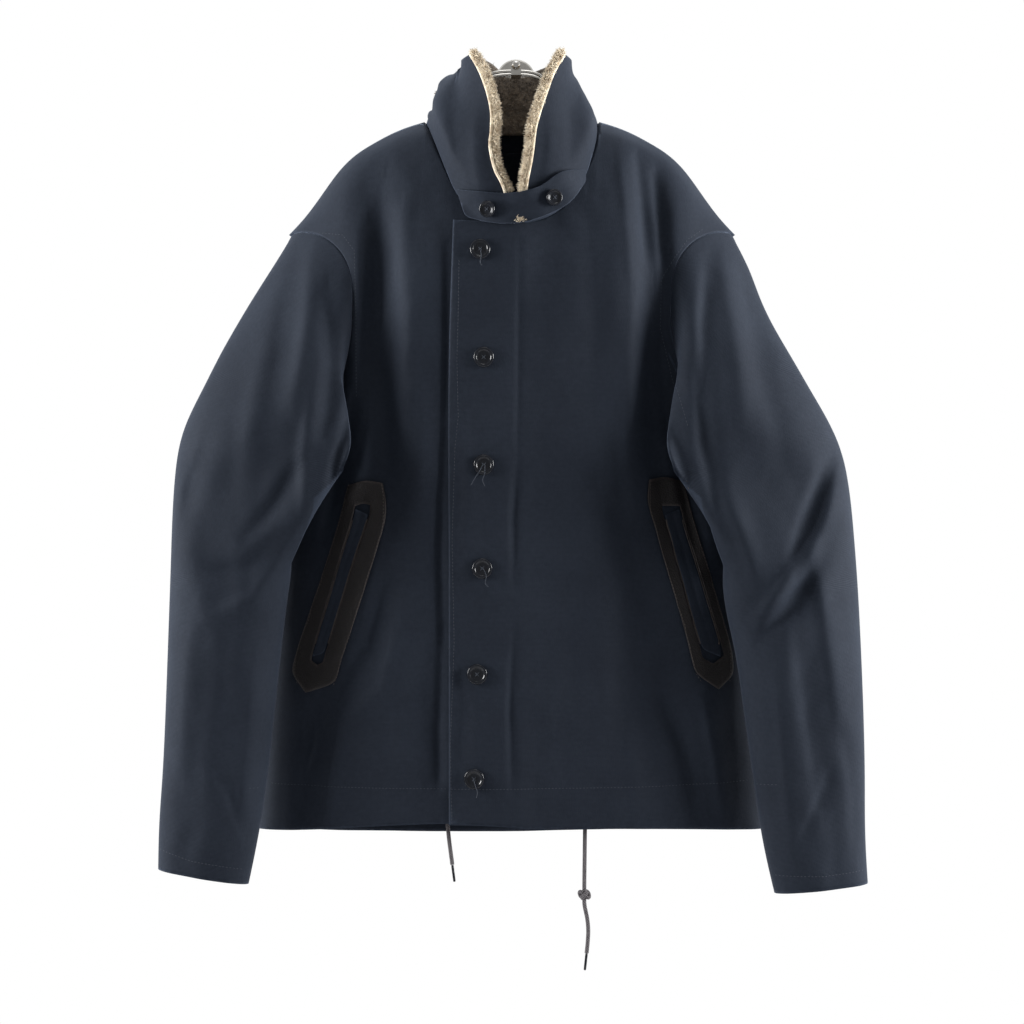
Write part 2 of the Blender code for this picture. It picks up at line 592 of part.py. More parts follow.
def sleeve_fold_depth(angle, share):
    """How far the sleeve's folds push it in, at angles round it and a share of its length."""
    depth = np.zeros_like(angle)
    for _, a0, s0, a1, s1, width, reach, into in SLEEVE_FOLDS:
        place_on = np.clip((share - s0) / (s1 - s0), 0.0, 1.0)
        off = (angle - (a0 + place_on * (a1 - a0)) + 180.0) % 360.0 - 180.0
        past = max(s0 - share, share - s1, 0.0)
        depth = depth + into * np.exp(-((off / width) ** 2)) * math.exp(-((past / reach) ** 2))
    return depth * smooth_step(share / 0.08)


def collar_rows(right, left, back):
    """Rows of points of the collar, from its foot on the neckline up to its top."""
    n = SHOULDER_STEPS
    foot = np.concatenate([
        right[0, UNDER_TOP_STEPS:UNDER_TOP_STEPS + NECK_FRONT_STEPS],
        back[0, n:n + NECK_BACK_STEPS + 1],
        left[0, LAP_TOP_STEPS:LAP_TOP_STEPS + NECK_FRONT_STEPS][::-1],
    ])
    top = curve(COLLAR_TOP, len(foot) - 1)
    under_peg = (np.abs(top[:, 0]) < PEG_DIP_WIDTH) & (top[:, 1] > 0.0)
    top[under_peg, 2] = np.minimum(top[under_peg, 2], PEG_DIP)
    edge_right = curve(COLLAR_EDGE_RIGHT, COLLAR_STEPS)
    edge_left = curve(COLLAR_EDGE_LEFT, COLLAR_STEPS)
    edge_right[0] = foot[0]
    edge_left[0] = foot[-1]
    rows = coons(foot, top, edge_right, edge_left, np.linspace(0.0, 1.0, COLLAR_STEPS + 1))
    out = grid_normals(rows, False)
    up = np.linspace(0.0, 1.0, COLLAR_STEPS + 1)[:, None, None]
    round_it = np.linspace(0.0, 1.0, len(foot))[None, :, None]
    bulge = COLLAR_BULGE * np.sin(math.pi * up) * np.sqrt(np.sin(math.pi * round_it).clip(0.0))
    return rows + out * bulge


def grid_normals(rows, closed):
    """The outward direction at each point of a piece's rows."""
    if closed:
        du = np.roll(rows, -1, axis=1) - np.roll(rows, 1, axis=1)
        away = rows - rows.mean(axis=1, keepdims=True)
    else:
        du = np.gradient(rows, axis=1)
        away = rows - np.array([MIDDLE, 0.015, 0.0])
        away[..., 2] = 0.0
    normal = np.cross(du, np.gradient(rows, axis=0))
    normal /= np.linalg.norm(normal, axis=-1, keepdims=True).clip(1e-12)
    return normal if (normal * away).sum() > 0 else -normal


def share_normals(pieces):
    """Give the points that pieces share at a seam one common outward direction."""
    table = {}
    for piece in pieces:
        for j, i in rim(piece):
            key = tuple(np.round(piece["rows"][j, i] * 2e4).astype(int))
            table.setdefault(key, []).append((piece, j, i))
    for owners in table.values():
        if len(owners) > 1:
            common = sum(piece["normals"][j, i] for piece, j, i in owners)
            common = common / np.linalg.norm(common)
            for piece, j, i in owners:
                piece["shared"][(j, i)] = common


def rim(piece):
    """The places of a piece's boundary points."""
    nv, nu = piece["rows"].shape[:2]
    ends = {(j, i) for j in (0, nv - 1) for i in range(nu)}
    if not piece["closed"]:
        ends |= {(j, i) for j in range(nv) for i in (0, nu - 1)}
    return sorted(ends)


def drawn_in(edge, inside):
    """A line of edge points brought in by half a seam's gap, square to the line."""
    step = inside - edge
    along = np.gradient(edge, axis=0)
    along /= np.linalg.norm(along, axis=-1, keepdims=True).clip(1e-9)
    step = step - along * (step * along).sum(axis=-1, keepdims=True)
    return edge + step / np.linalg.norm(step, axis=-1, keepdims=True).clip(1e-9) * (SEAM / 2)


def draw_back(piece):
    """Bring a piece's edges in by half the gap that a seam leaves."""
    rows = piece["rows"].copy()
    rows[0] = drawn_in(rows[0], rows[1])
    rows[-1] = drawn_in(rows[-1], rows[-2])
    if not piece["closed"]:
        rows[:, 0] = drawn_in(rows[:, 0], rows[:, 1])
        rows[:, -1] = drawn_in(rows[:, -1], rows[:, -2])
    piece["rows"] = rows


def panel_normals(rows, front):
    """The outward direction of the body's surface at a panel's points, found over a small step."""
    x = rows[..., 0]
    z = rows[..., 2]
    here = body_depth(x, z, front)
    inward = np.where(x > MIDDLE, -NORMAL_STEP, NORMAL_STEP)
    slope_x = (body_depth(x + inward, z, front) - here) / inward
    slope_z = (body_depth(x, z - NORMAL_STEP, front) - here) / -NORMAL_STEP
    normal = np.stack([slope_x, np.full_like(x, -1.0), slope_z], axis=-1)
    normal /= np.linalg.norm(normal, axis=-1, keepdims=True)
    return normal if front else -normal


def cloth_piece(rows, normals):
    return {"rows": rows, "closed": False, "shared": {}, "normals": normals}


def ring_piece(rows):
    return {"rows": rows, "closed": True, "shared": {}, "normals": grid_normals(rows, True)}


def wall(outer, inner, closed, leaning=False):
    """A closed wall of cloth between two skins of points, each cell split along the same diagonal."""
    nv, nu = outer.shape[:2]
    mesh = bmesh.new()
    skins = []
    for skin in (outer, inner):
        skins.append([[mesh.verts.new(point) for point in row] for row in skin])

    def cell(a, b, c, d):
        if leaning:
            a, b, c, d = b, c, d, a
        mesh.faces.new((a, b, c))
        mesh.faces.new((a, c, d))

    out, back = skins
    columns = nu if closed else nu - 1
    for j in range(nv - 1):
        for i in range(columns):
            k = (i + 1) % nu
            cell(out[j][i], out[j][k], out[j + 1][k], out[j + 1][i])
            cell(back[j + 1][k], back[j][k], back[j][i], back[j + 1][i])

    def end(out_a, out_b, back_b, back_a):
        first = (out_a.co.z, out_a.co.x) > (out_b.co.z, out_b.co.x)
        start = [out_a, out_b, back_b, back_a] if first else [out_b, back_b, back_a, out_a]
        mesh.faces.new(start[:3])
        mesh.faces.new((start[0], start[2], start[3]))

    for i in range(columns):
        k = (i + 1) % nu
        end(out[0][k], out[0][i], back[0][i], back[0][k])
        end(out[-1][i], out[-1][k], back[-1][k], back[-1][i])
    if not closed:
        for j in range(nv - 1):
            end(out[j][0], out[j + 1][0], back[j + 1][0], back[j][0])
            end(out[j + 1][-1], out[j][-1], back[j][-1], back[j + 1][-1])
    if mesh.calc_volume(signed=True) < 0:
        bmesh.ops.reverse_faces(mesh, faces=mesh.faces)
    return mesh


def to_mesh(name, mesh, sharp=50.0):
    """Turn a bmesh into mesh data, shaded smooth but for its sharp edges."""
    data = bpy.data.meshes.new(name)
    mesh.to_mesh(data)
    mesh.free()
    data.shade_smooth()
    data.set_sharp_from_angle(angle=math.radians(sharp))
    return data


def cloth(name, piece, material, carrier, thick=CLOTH):
    """Make a named piece of cloth from its rows."""
    normals = piece["normals"].copy()
    for (j, i), common in piece["shared"].items():
        normals[j, i] = common
    outer = piece["rows"]
    inner = outer - normals * thick
    return place(name, to_mesh(name, wall(outer, inner, piece["closed"])), material, carrier)


def pile_rows(collar, columns, side):
    """The outer points and thickness of a lining that lies inside the collar, edge roll included."""
    gap = CLOTH + LINING_GAP
    rows = collar["rows"][:, columns]
    normals = collar["normals"][:, columns]
    base = rows - normals * gap
    if side == 0:
        return base, np.full(rows.shape[:2], LINING), normals
    edge = rows[:, 0]
    onward = rows[:, 0] - rows[:, 1]
    onward[:, 2] *= 0.2
    onward /= np.linalg.norm(onward, axis=1)[:, None]
    narrow = np.clip((np.abs(edge[:, 0]) - SEAT) / PILE_REACH, 0.25, 1.0)[:, None]
    roll = []
    for past, out, _ in PILE_ROLL:
        roll.append(edge + onward * past * narrow + normals[:, 0] * out)
    roll = np.stack(roll[::-1], axis=1)
    outer = np.concatenate([roll, base[:, 1:]], axis=1)
    thick = np.full(outer.shape[:2], PILE)
    for k, (_, _, wide) in enumerate(PILE_ROLL[::-1]):
        thick[:, k] = wide
    direction = np.concatenate([np.repeat(normals[:, :1], len(PILE_ROLL), axis=1), normals[:, 1:]], axis=1)
    return outer, thick, direction


def lining(name, collar, columns, side, material, carrier):
    outer, thick, direction = pile_rows(collar, columns, side)
    outer = outer[1:]
    inner = outer - direction[1:] * thick[1:, :, None]
    return place(name, to_mesh(name, wall(outer, inner, False, side > 0)), material, carrier)


def surface_under(pieces):
    """A search tree of the pieces that others lie on."""
    points = []
    faces = []
    for piece in pieces:
        start = len(points)
        points += [vertex.co.copy() for vertex in piece.data.vertices]
        faces += [[start + k for k in face.vertices] for face in piece.data.polygons]
    return BVHTree.FromPolygons(points, faces)


def laid_on(tree, flat, lift):
    """The x, z points of a flat outline, laid on what is under them as seen from the front."""
    placed = []
    for x, z in flat:
        hit, _, _, _ = tree.ray_cast(Vector((x, -0.5, z)), Vector((0.0, 1.0, 0.0)))
        depth = hit.y if hit else float(body_depth(np.array([x]), np.array([z]), True)[0]) - LAP
        placed.append((x, depth - lift, z))
    return np.array(placed)


def held_off(rows, tree, lift):
    """Bring rows of points forward until every cell between them clears what lies behind it."""
    rows = rows.copy()
    shares = (0.0, 0.25, 0.5, 0.75, 1.0)
    for _ in range(3):
        push = np.zeros(rows.shape[:2])
        for j in range(rows.shape[0] - 1):
            for i in range(rows.shape[1] - 1):
                a, b, c, d = rows[j, i], rows[j, i + 1], rows[j + 1, i], rows[j + 1, i + 1]
                points = []
                for u in shares:
                    upper = a * (1 - u) + b * u
                    lower = c * (1 - u) + d * u
                    points += [upper * (1 - v) + lower * v for v in shares]
                lain = laid_on(tree, [(x, z) for x, _, z in points], lift)
                over = max(point[1] - needed[1] for point, needed in zip(points, lain))
                push[j:j + 2, i:i + 2] = np.maximum(push[j:j + 2, i:i + 2], over)
        rows[..., 1] -= push
    return rows


def chin_tab(tree, material, carrier):
    """A strap of two layers that lies over the collar's foot."""
    lower = curve(TAB_LOWER, TAB_STEPS)
    upper = curve(TAB_UPPER, TAB_STEPS)
    rows = []
    for share in np.linspace(0.0, 1.0, TAB_ROWS + 1):
        flat = upper * (1 - share) + lower * share
        rows.append(laid_on(tree, flat, TAB_LIFT))
    rows = np.array(rows)
    for _ in range(3):
        smooth = rows[:, :, 1].copy()
        smooth[:, 1:-1] = (rows[:, :-2, 1] + rows[:, 1:-1, 1] + rows[:, 2:, 1]) / 3
        rows[:, :, 1] = np.minimum(rows[:, :, 1], smooth)
    nearest = rows[:, :, 1].min(axis=0)
    rows[:, :, 1] = np.minimum(rows[:, :, 1], nearest[None] + TAB_FLAT)
    inner = held_off(rows, tree, TAB_LIFT)
    rows = inner - np.array([0.0, TAB_THICK, 0.0])
    return place("chin_tab", to_mesh("chin_tab", wall(rows, inner, False)), material, carrier)


def button(name, at, radius, tree, material, carrier):
    """A turned button, seated on the cloth under it."""
    x, z = at
    angles = np.linspace(0, 2 * math.pi, 9)[:-1]
    around = [(x + radius * math.cos(a), z + radius * math.sin(a)) for a in angles]
    ring = laid_on(tree, around, 0.0)
    axis = np.cross(ring[2] - ring[6], ring[0] - ring[4])
    axis /= np.linalg.norm(axis)
    if axis[1] > 0:
        axis = -axis
    centre = ring.mean(axis=0)
    rise = max(((ring - centre) @ axis).max(), (laid_on(tree, [at], 0.0)[0] - centre) @ axis)
    seat = centre + axis * (rise + SEAT)
    profile = bmesh.new()
    line = [profile.verts.new((r * radius, 0.0, h * radius)) for r, h in BUTTON_PROFILE]
    for a, b in zip(line, line[1:]):
        profile.edges.new((a, b))
    data = bpy.data.meshes.new(name)
    profile.to_mesh(data)
    profile.free()
    piece = place(name, data, material, carrier)
    screw = piece.modifiers.new("turned", "SCREW")
    screw.steps = screw.render_steps = 12
    screw.use_merge_vertices = True
    screw.merge_threshold = 0.00005
    screw.use_smooth_shade = True
    piece.location = seat
    piece.rotation_mode = "QUATERNION"
    piece.rotation_quaternion = Vector(axis).to_track_quat("Z", "Y")
    return piece


def pocket(side, tree, leather, cloth_material, carrier):
    """A leather frame round a slanted pocket, and the cloth welts in its window."""
    word = "right" if side < 0 else "left"
    table = POCKET_RIGHT if side < 0 else POCKET_LEFT
    outside = halved([row[0] for row in table])
    inside = halved([row[1] for row in table])
    lines = [outside, (outside + inside) / 2, inside]
    looped = np.array([laid_on(tree, np.concatenate([line, line[:1]]), POCKET_LIFT) for line in lines])
    inner = held_off(looped, tree, POCKET_LIFT)
    inner[:, 0, 1] = np.minimum(inner[:, 0, 1], inner[:, -1, 1])
    inner = inner[:, :-1]
    rows = inner - np.array([0.0, POCKET_THICK, 0.0])
    name = "pocket_frame_" + word
    frame = place(name, to_mesh(name, wall(rows, inner, True)), leather, carrier)
    window = [row[1] for row in table]
    middle_side = curve(window[1:9], WELT_STEPS)
    outer_side = curve([window[0]] + window[:8:-1], WELT_STEPS)
    span = slice(1, WELT_STEPS)
    welt = []
    for share, _ in WELT_SECTION:
        line = middle_side[span] * (1 - share) + outer_side[span] * share
        welt.append(laid_on(tree, line, POCKET_LIFT))
    base = held_off(np.array(welt), tree, POCKET_LIFT)
    face = base - np.array([0.0, WELT_THICK, 0.0])
    for k, (_, sink) in enumerate(WELT_SECTION):
        face[k, :, 1] += sink
    name = "pocket_welt_" + word
    return frame, place(name, to_mesh(name, wall(face, base, False)), cloth_material, carrier)


def halved(points):
    """A closed outline with a point added in the middle of each side."""
    p = np.array(points, float)
    both = np.empty((2 * len(p), p.shape[1]))
    both[0::2] = p
    both[1::2] = (p + np.roll(p, -1, axis=0)) / 2
    return both


def tube(name, points, radius, material, carrier, cyclic=False):
    """A round tube along a line of points."""
    data = bpy.data.curves.new(name, "CURVE")
    data.dimensions = "3D"
    data.bevel_depth = radius
    data.bevel_resolution = TUBE_SIDES
    data.use_fill_caps = True
    spline = data.splines.new("POLY")
    spline.points.add(len(points) - 1)
    for target, point in zip(spline.points, points):
        target.co = (*point, 1.0)
    spline.use_cyclic_u = cyclic
    return place(name, data, material, carrier)


def washer(name, centre, hole, outer, thick, material, carrier):
    """A flat ring that faces along Y: an eyelet."""
    data = bpy.data.meshes.new(name)
    profile = bmesh.new()
    half = thick / 2
    corners = [(outer, half), (outer, -half), (hole, -half), (hole, half)]
    line = [profile.verts.new((r, 0.0, h)) for r, h in corners]
    for a, b in zip(line, line[1:] + line[:1]):
        profile.edges.new((a, b))
    profile.to_mesh(data)
    profile.free()
    piece = place(name, data, material, carrier)
    screw = piece.modifiers.new("turned", "SCREW")
    screw.steps = screw.render_steps = 14
    screw.use_merge_vertices = True
    screw.merge_threshold = 0.00005
    piece.location = centre
    piece.rotation_euler = (math.radians(90.0), 0.0, 0.0)
    return piece


def turned(name, profile_points, steps, location, tilt, material, carrier):
    """A shape turned round its own Z from a profile of radius and height."""
    data = bpy.data.meshes.new(name)
    profile = bmesh.new()
    line = [profile.verts.new((r, 0.0, h)) for r, h in profile_points]
    for a, b in zip(line, line[1:]):
        profile.edges.new((a, b))
    if profile_points[0][0] > 0:
        profile.edges.new((line[-1], line[0]))
    profile.to_mesh(data)
    profile.free()
    piece = place(name, data, material, carrier)
    screw = piece.modifiers.new("turned", "SCREW")
    screw.steps = screw.render_steps = steps
    screw.use_merge_vertices = True
    screw.merge_threshold = 0.00005
    piece.location = location
    piece.rotation_euler = tilt
    return piece


def drawstring(word, route, tree, eyelet_metal, cord_finish, carrier):
    """A hem drawstring, the eyelet that it comes out of and the aglet on its end."""
    x, _, z = route[0]
    hit, _, _, _ = tree.ray_cast(Vector((x, 0.0, z)), Vector((0.0, -1.0, 0.0)))
    seat = hit.y + SEAT + EYELET_THICK / 2
    route = [(x, depth + seat, z) for x, depth, z in route]
    points = curve(route, 24 if word == "left" else 14)
    tube("drawstring_" + word, points, CORD / 2, cord_finish, carrier)
    hole = CORD / 2 + SEAM
    washer("hem_eyelet_" + word, route[0], hole, hole + EYELET_RIM, EYELET_THICK, eyelet_metal, carrier)
    down = Vector(points[-1] - points[-2]).normalized()
    start = Vector(points[-1]) + down * SEAM
    tube("aglet_" + word, [start, start + down * AGLET_LENGTH], AGLET / 2, eyelet_metal, carrier)
    return points


def under_shoulder(x, z, tree):
    """The height, from z down, at which both wires clear the shoulder cloth on both sides."""
    clear = WIRE / 2 + WIRE_CLEAR
    ways = [Vector((a, b, c)) for a in (-1, 0, 1) for b in (-1, 0, 1) for c in (0, 1)]
    around = [way.normalized() * clear for way in ways if way.length]
    for _ in range(200):
        inside = True
        for side in (-1, 1):
            for depth in (0.0, WIRE_APART):
                for step in around:
                    px = np.array([side * x + MIDDLE / 2 + step.x])
                    py = depth + step.y
                    pz = np.array([z + step.z])
                    under = pz[0] < shoulder_height(px)[0]
                    front = body_depth(px, pz, True)[0]
                    behind = body_depth(px, pz, False)[0]
                    inside &= bool(under and front < py < behind)
                centre = Vector((side * x + MIDDLE / 2, depth, z))
                inside &= tree.find_nearest(centre)[3] > clear
        if inside:
            return z
        z -= 0.0005
    return z


def hanger(tree, steel, carrier):
    """Two steel wires side by side, bent to the shoulders and joined by a bend at each end."""
    middle = WIRE_APART / 2
    half = [(x, z) for x, z in WIRE_NECK]
    for x, z in WIRE_ARM:
        half.append((x, under_shoulder(x, z, tree)))
    run = curve(half, WIRE_STEPS)
    tip = run[-1]
    bend = []
    for angle in np.linspace(-80.0, 80.0, 7):
        a = math.radians(angle)
        drop = 1.05 * middle * math.cos(a)
        bend.append((tip[0] + middle * math.cos(a) * 0.80, middle + middle * math.sin(a), tip[1] - drop))
    points = []
    for side in (1, -1):
        front = [(side * x, 0.0, z) for x, z in run[:-1]]
        back = [(side * x, WIRE_APART, z) for x, z in run[:-1]]
        turn_round = [(side * x, y, z) for x, y, z in bend]
        if side > 0:
            points += front + turn_round + back[::-1]
        else:
            points += back[1:] + turn_round[::-1] + front[:0:-1]
    shifted = [(x + MIDDLE / 2, y, z) for x, y, z in points]
    return tube("hanger_wire", shifted, WIRE / 2, steel, carrier, cyclic=True)


def hanger_block(steel, carrier):
    """The block that grips both wires and hangs on the peg through its bore."""
    radius = BLOCK_WIDTH / 2
    floor = WIRE_Z - WIRE / 2 - 0.0022
    arch = [(-radius, floor), (radius, floor)]
    arch += [(radius * math.cos(a), radius * math.sin(a)) for a in np.linspace(0.0, math.pi, 13)]
    data = bpy.data.curves.new("hanger_block", "CURVE")
    data.dimensions = "2D"
    data.fill_mode = "BOTH"
    data.extrude = (WIRE_APART + WIRE + 0.0030) / 2
    spline = data.splines.new("POLY")
    spline.points.add(len(arch) - 1)
    for target, (x, z) in zip(spline.points, arch):
        target.co = (x, z, 0.0, 1.0)
    spline.use_cyclic_u = True
    outline = bpy.data.objects.new("hanger_block_outline", data)
    carrier["collection"].objects.link(outline)
    outline.rotation_euler = (math.radians(90.0), 0.0, 0.0)
    outline.location = (0.0, WIRE_APART / 2, 0.0)
    bpy.context.view_layer.update()
    graph = bpy.context.evaluated_depsgraph_get()
    solid = bpy.data.meshes.new_from_object(outline.evaluated_get(graph))
    solid.transform(outline.matrix_world)
    mesh = bmesh.new()
    mesh.from_mesh(solid)
    bmesh.ops.remove_doubles(mesh, verts=mesh.verts, dist=0.00001)
    bmesh.ops.recalc_face_normals(mesh, faces=mesh.faces)
    mesh.to_mesh(solid)
    mesh.free()
    bpy.data.objects.remove(outline)
    solid.materials.clear()
    block = place("hanger_block", solid, steel, carrier)
    bores = (
        ("peg_bore", (0.0, WIRE_APART / 2, 0.0), ROD / 2 + SEAM, (90.0, 0.0, 0.0), WIRE_APART + 0.02),
        ("front_wire_bore", (0.0, 0.0, WIRE_Z), WIRE / 2 + SEAM, (0.0, 90.0, 0.0), 0.03),
        ("back_wire_bore", (0.0, WIRE_APART, WIRE_Z), WIRE / 2 + SEAM, (0.0, 90.0, 0.0), 0.03),
    )
    for name, at, radius, turned_to, length in bores:
        cutter = cylinder(name, radius, length, 16)
        cutter.location = at
        cutter.rotation_euler = [math.radians(v) for v in turned_to]
        cutter.parent = carrier["empty"]
        cutter.display_type = "WIRE"
        cutter.hide_render = True
        carrier["cutters"].objects.link(cutter)
        cut = block.modifiers.new(name, "BOOLEAN")
        cut.operation = "DIFFERENCE"
        cut.object = cutter
    return block


def cylinder(name, radius, length, segments):
    """A capped cylinder along its own Z."""
    mesh = bmesh.new()
    bmesh.ops.create_cone(
        mesh, cap_ends=True, segments=segments, radius1=radius, radius2=radius, depth=length
    )
    data = bpy.data.meshes.new(name)
    mesh.to_mesh(data)
    mesh.free()
    return bpy.data.objects.new(name, data)


def peg(steel, carrier):
    """The peg with its knob, and the round plate that fixes it to the wall."""
    rod = ROD / 2
    knob = KNOB / 2
    front = -0.0085
    length = JACKET_OUT - PLATE_THICK - SEAM - front
    shape = [
        (0.0, length), (0.60 * knob, length - 0.0004), (0.92 * knob, length - 0.0014),
        (knob, length - 0.0028), (knob, length - KNOB_LENGTH), (rod, length - KNOB_LENGTH),
        (rod, 0.0), (0.0, 0.0),
    ]
    upright = (math.radians(90.0), 0.0, 0.0)
    at_wall = (0.0, JACKET_OUT - PLATE_THICK - SEAM, 0.0)
    turned("wall_peg", shape, 20, at_wall, upright, steel, carrier)
    half = PLATE / 2
    disc = [
        (0.0, PLATE_THICK), (half - 0.0015, PLATE_THICK), (half, PLATE_THICK - 0.0015),
        (half, 0.0), (0.0, 0.0),
    ]
    turned("wall_plate", disc, 32, (0.0, JACKET_OUT, 0.0), upright, steel, carrier)


def make_carrier():
    """The empty that carries the jacket's frame out from the wall, and the collections."""
    collection = bpy.data.collections.new("deck_jacket")
    cutters = bpy.data.collections.new("cutters")
    for group in (collection, cutters):
        bpy.context.scene.collection.children.link(group)
    empty = bpy.data.objects.new("jacket_frame", None)
    empty.location = (0.0, -JACKET_OUT, 0.0)
    collection.objects.link(empty)
    return {"collection": collection, "cutters": cutters, "empty": empty}


def main():
    clear_scene()
    carrier = make_carrier()
    navy = finish("navy_cloth", NAVY, 0.85)
    navy_dark = finish("navy_inner_cloth", NAVY_DARK, 0.9)
    cream = finish("cream_pile", CREAM, 0.95)
    brown = finish("brown_pile", BROWN, 0.95)
    leather = finish("dark_leather", LEATHER, 0.5)
    gloss = finish("gloss_black", GLOSS_BLACK, 0.25)
    cord_finish = finish("cord", CORD_GREY, 0.8)
    steel = finish("bright_steel", STEEL, 0.2, 1.0)

    right = seam_lines(-1)
    left = seam_lines(1)
    pieces = {
        "front_right": front_rows(-1, right),
        "front_left": front_rows(1, left),
        "back": back_rows(right, left),
    }
    pieces = {name: cloth_piece(rows, panel_normals(rows, name != "back")) for name, rows in pieces.items()}
    rows = {name: piece["rows"].copy() for name, piece in pieces.items()}
    pieces["sleeve_right"] = ring_piece(sleeve_rows(-1, rows["front_right"], rows["back"]))
    pieces["sleeve_left"] = ring_piece(sleeve_rows(1, rows["front_left"], rows["back"]))
    around_neck = collar_rows(rows["front_right"], rows["front_left"], rows["back"])
    pieces["collar"] = cloth_piece(around_neck, grid_normals(around_neck, False))
    share_normals(list(pieces.values()))
    for piece in pieces.values():
        draw_back(piece)
    made = {name: cloth(name, piece, navy, carrier) for name, piece in pieces.items()}

    collar = pieces["collar"]
    count = collar["rows"].shape[1]
    columns = list(range(count))
    pile_right = lining("collar_pile_right", collar, columns[:PILE_COLUMNS], -1, cream, carrier)
    pile_left = lining("collar_pile_left", collar, columns[::-1][:PILE_COLUMNS], 1, cream, carrier)
    middle = columns[PILE_COLUMNS:count - PILE_COLUMNS]
    lining("collar_lining_back", collar, middle, 0, brown, carrier)

    under = surface_under([made["front_right"], made["front_left"], made["collar"], pile_right, pile_left])
    tab = chin_tab(under, navy, carrier)
    with_tab = surface_under([made["front_left"], made["collar"], tab])
    for number, at in enumerate(FRONT_BUTTONS, 1):
        button("front_button_" + str(number), at, BUTTON, with_tab, gloss, carrier)
    for number, at in enumerate(TAB_BUTTONS, 1):
        button("tab_button_" + str(number), at, TAB_BUTTON, with_tab, gloss, carrier)
    pocket(-1, surface_under([made["front_right"]]), leather, navy_dark, carrier)
    pocket(1, surface_under([made["front_left"]]), leather, navy_dark, carrier)
    fronts = surface_under([made["front_right"], made["front_left"]])
    drawstring("right", DRAWSTRING_RIGHT, fronts, steel, cord_finish, carrier)
    line = drawstring("left", DRAWSTRING_LEFT, fronts, steel, cord_finish, carrier)
    beside = line[np.argmin(np.abs(line[:, 2] - KNOT_Z))]
    at_knot = (beside[0], beside[1], KNOT_Z)
    turned("drawstring_knot", KNOT_PROFILE, 12, at_knot, (0.0, 0.0, 0.0), cord_finish, carrier)
    hanger(surface_under([made["front_right"], made["front_left"], made["back"]]), steel, carrier)
    hanger_block(steel, carrier)
    peg(steel, carrier)


main()
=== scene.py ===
import math
import random

import bmesh
import bpy
import numpy as np
from mathutils import Matrix, Vector, noise
from mathutils.bvhtree import BVHTree


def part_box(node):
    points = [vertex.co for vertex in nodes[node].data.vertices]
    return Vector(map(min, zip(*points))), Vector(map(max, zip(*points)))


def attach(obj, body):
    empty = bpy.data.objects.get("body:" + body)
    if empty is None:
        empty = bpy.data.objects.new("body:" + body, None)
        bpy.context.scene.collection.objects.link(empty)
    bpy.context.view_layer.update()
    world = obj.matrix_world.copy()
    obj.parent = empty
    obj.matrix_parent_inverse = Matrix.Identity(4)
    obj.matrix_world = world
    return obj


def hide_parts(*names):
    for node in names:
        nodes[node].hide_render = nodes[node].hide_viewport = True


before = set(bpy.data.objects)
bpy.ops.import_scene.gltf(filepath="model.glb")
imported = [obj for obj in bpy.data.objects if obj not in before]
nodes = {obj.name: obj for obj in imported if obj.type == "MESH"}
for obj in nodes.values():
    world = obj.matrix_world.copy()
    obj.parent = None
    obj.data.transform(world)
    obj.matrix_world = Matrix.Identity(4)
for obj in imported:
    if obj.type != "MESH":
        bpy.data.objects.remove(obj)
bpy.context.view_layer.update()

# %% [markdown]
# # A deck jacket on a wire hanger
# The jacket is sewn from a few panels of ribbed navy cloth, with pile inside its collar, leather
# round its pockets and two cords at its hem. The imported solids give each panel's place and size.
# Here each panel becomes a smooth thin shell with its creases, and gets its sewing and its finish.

MIDDLE = -0.004
JACKET_OUT = 0.092

# %% [markdown]
# ## The camera
# The photograph was taken straight on, from a few metres away, at the height of the second
# button. A long lens at three metres gives the same flat look. The sensor and the lens together
# make a view just over a metre wide at the jacket.

# %% The camera
VIEW_WIDTH = 1.024
DISTANCE = 3.0
EYE_HEIGHT = -0.446
camera = bpy.data.objects.new("camera", bpy.data.cameras.new("camera"))
bpy.context.scene.collection.objects.link(camera)
bpy.context.scene.camera = camera
camera.data.sensor_width = 36.0
camera.data.lens = camera.data.sensor_width * DISTANCE / VIEW_WIDTH
camera.location = (MIDDLE, -JACKET_OUT - DISTANCE, EYE_HEIGHT)
camera.rotation_euler = (math.radians(90.0), 0.0, 0.0)
print("lens", round(camera.data.lens, 2), "mm")

# %% [markdown]
# ## Writing materials as expressions
# A material is a net of small nodes. To keep the maths readable, one class wraps an output, and
# Python's own operators add the Math nodes. Every other node comes from one method, `add`.

# %% A wrapped output and a material to write


class Wire:
    """A node's output that Python's operators can work on."""

    def __init__(self, finish, socket):
        self.finish = finish
        self.socket = socket

    def __add__(self, other):
        return self.finish.math("ADD", self, other)

    def __sub__(self, other):
        return self.finish.math("SUBTRACT", self, other)

    def __rsub__(self, other):
        return self.finish.math("SUBTRACT", other, self)

    def __mul__(self, other):
        return self.finish.math("MULTIPLY", self, other)

    __radd__ = __add__
    __rmul__ = __mul__


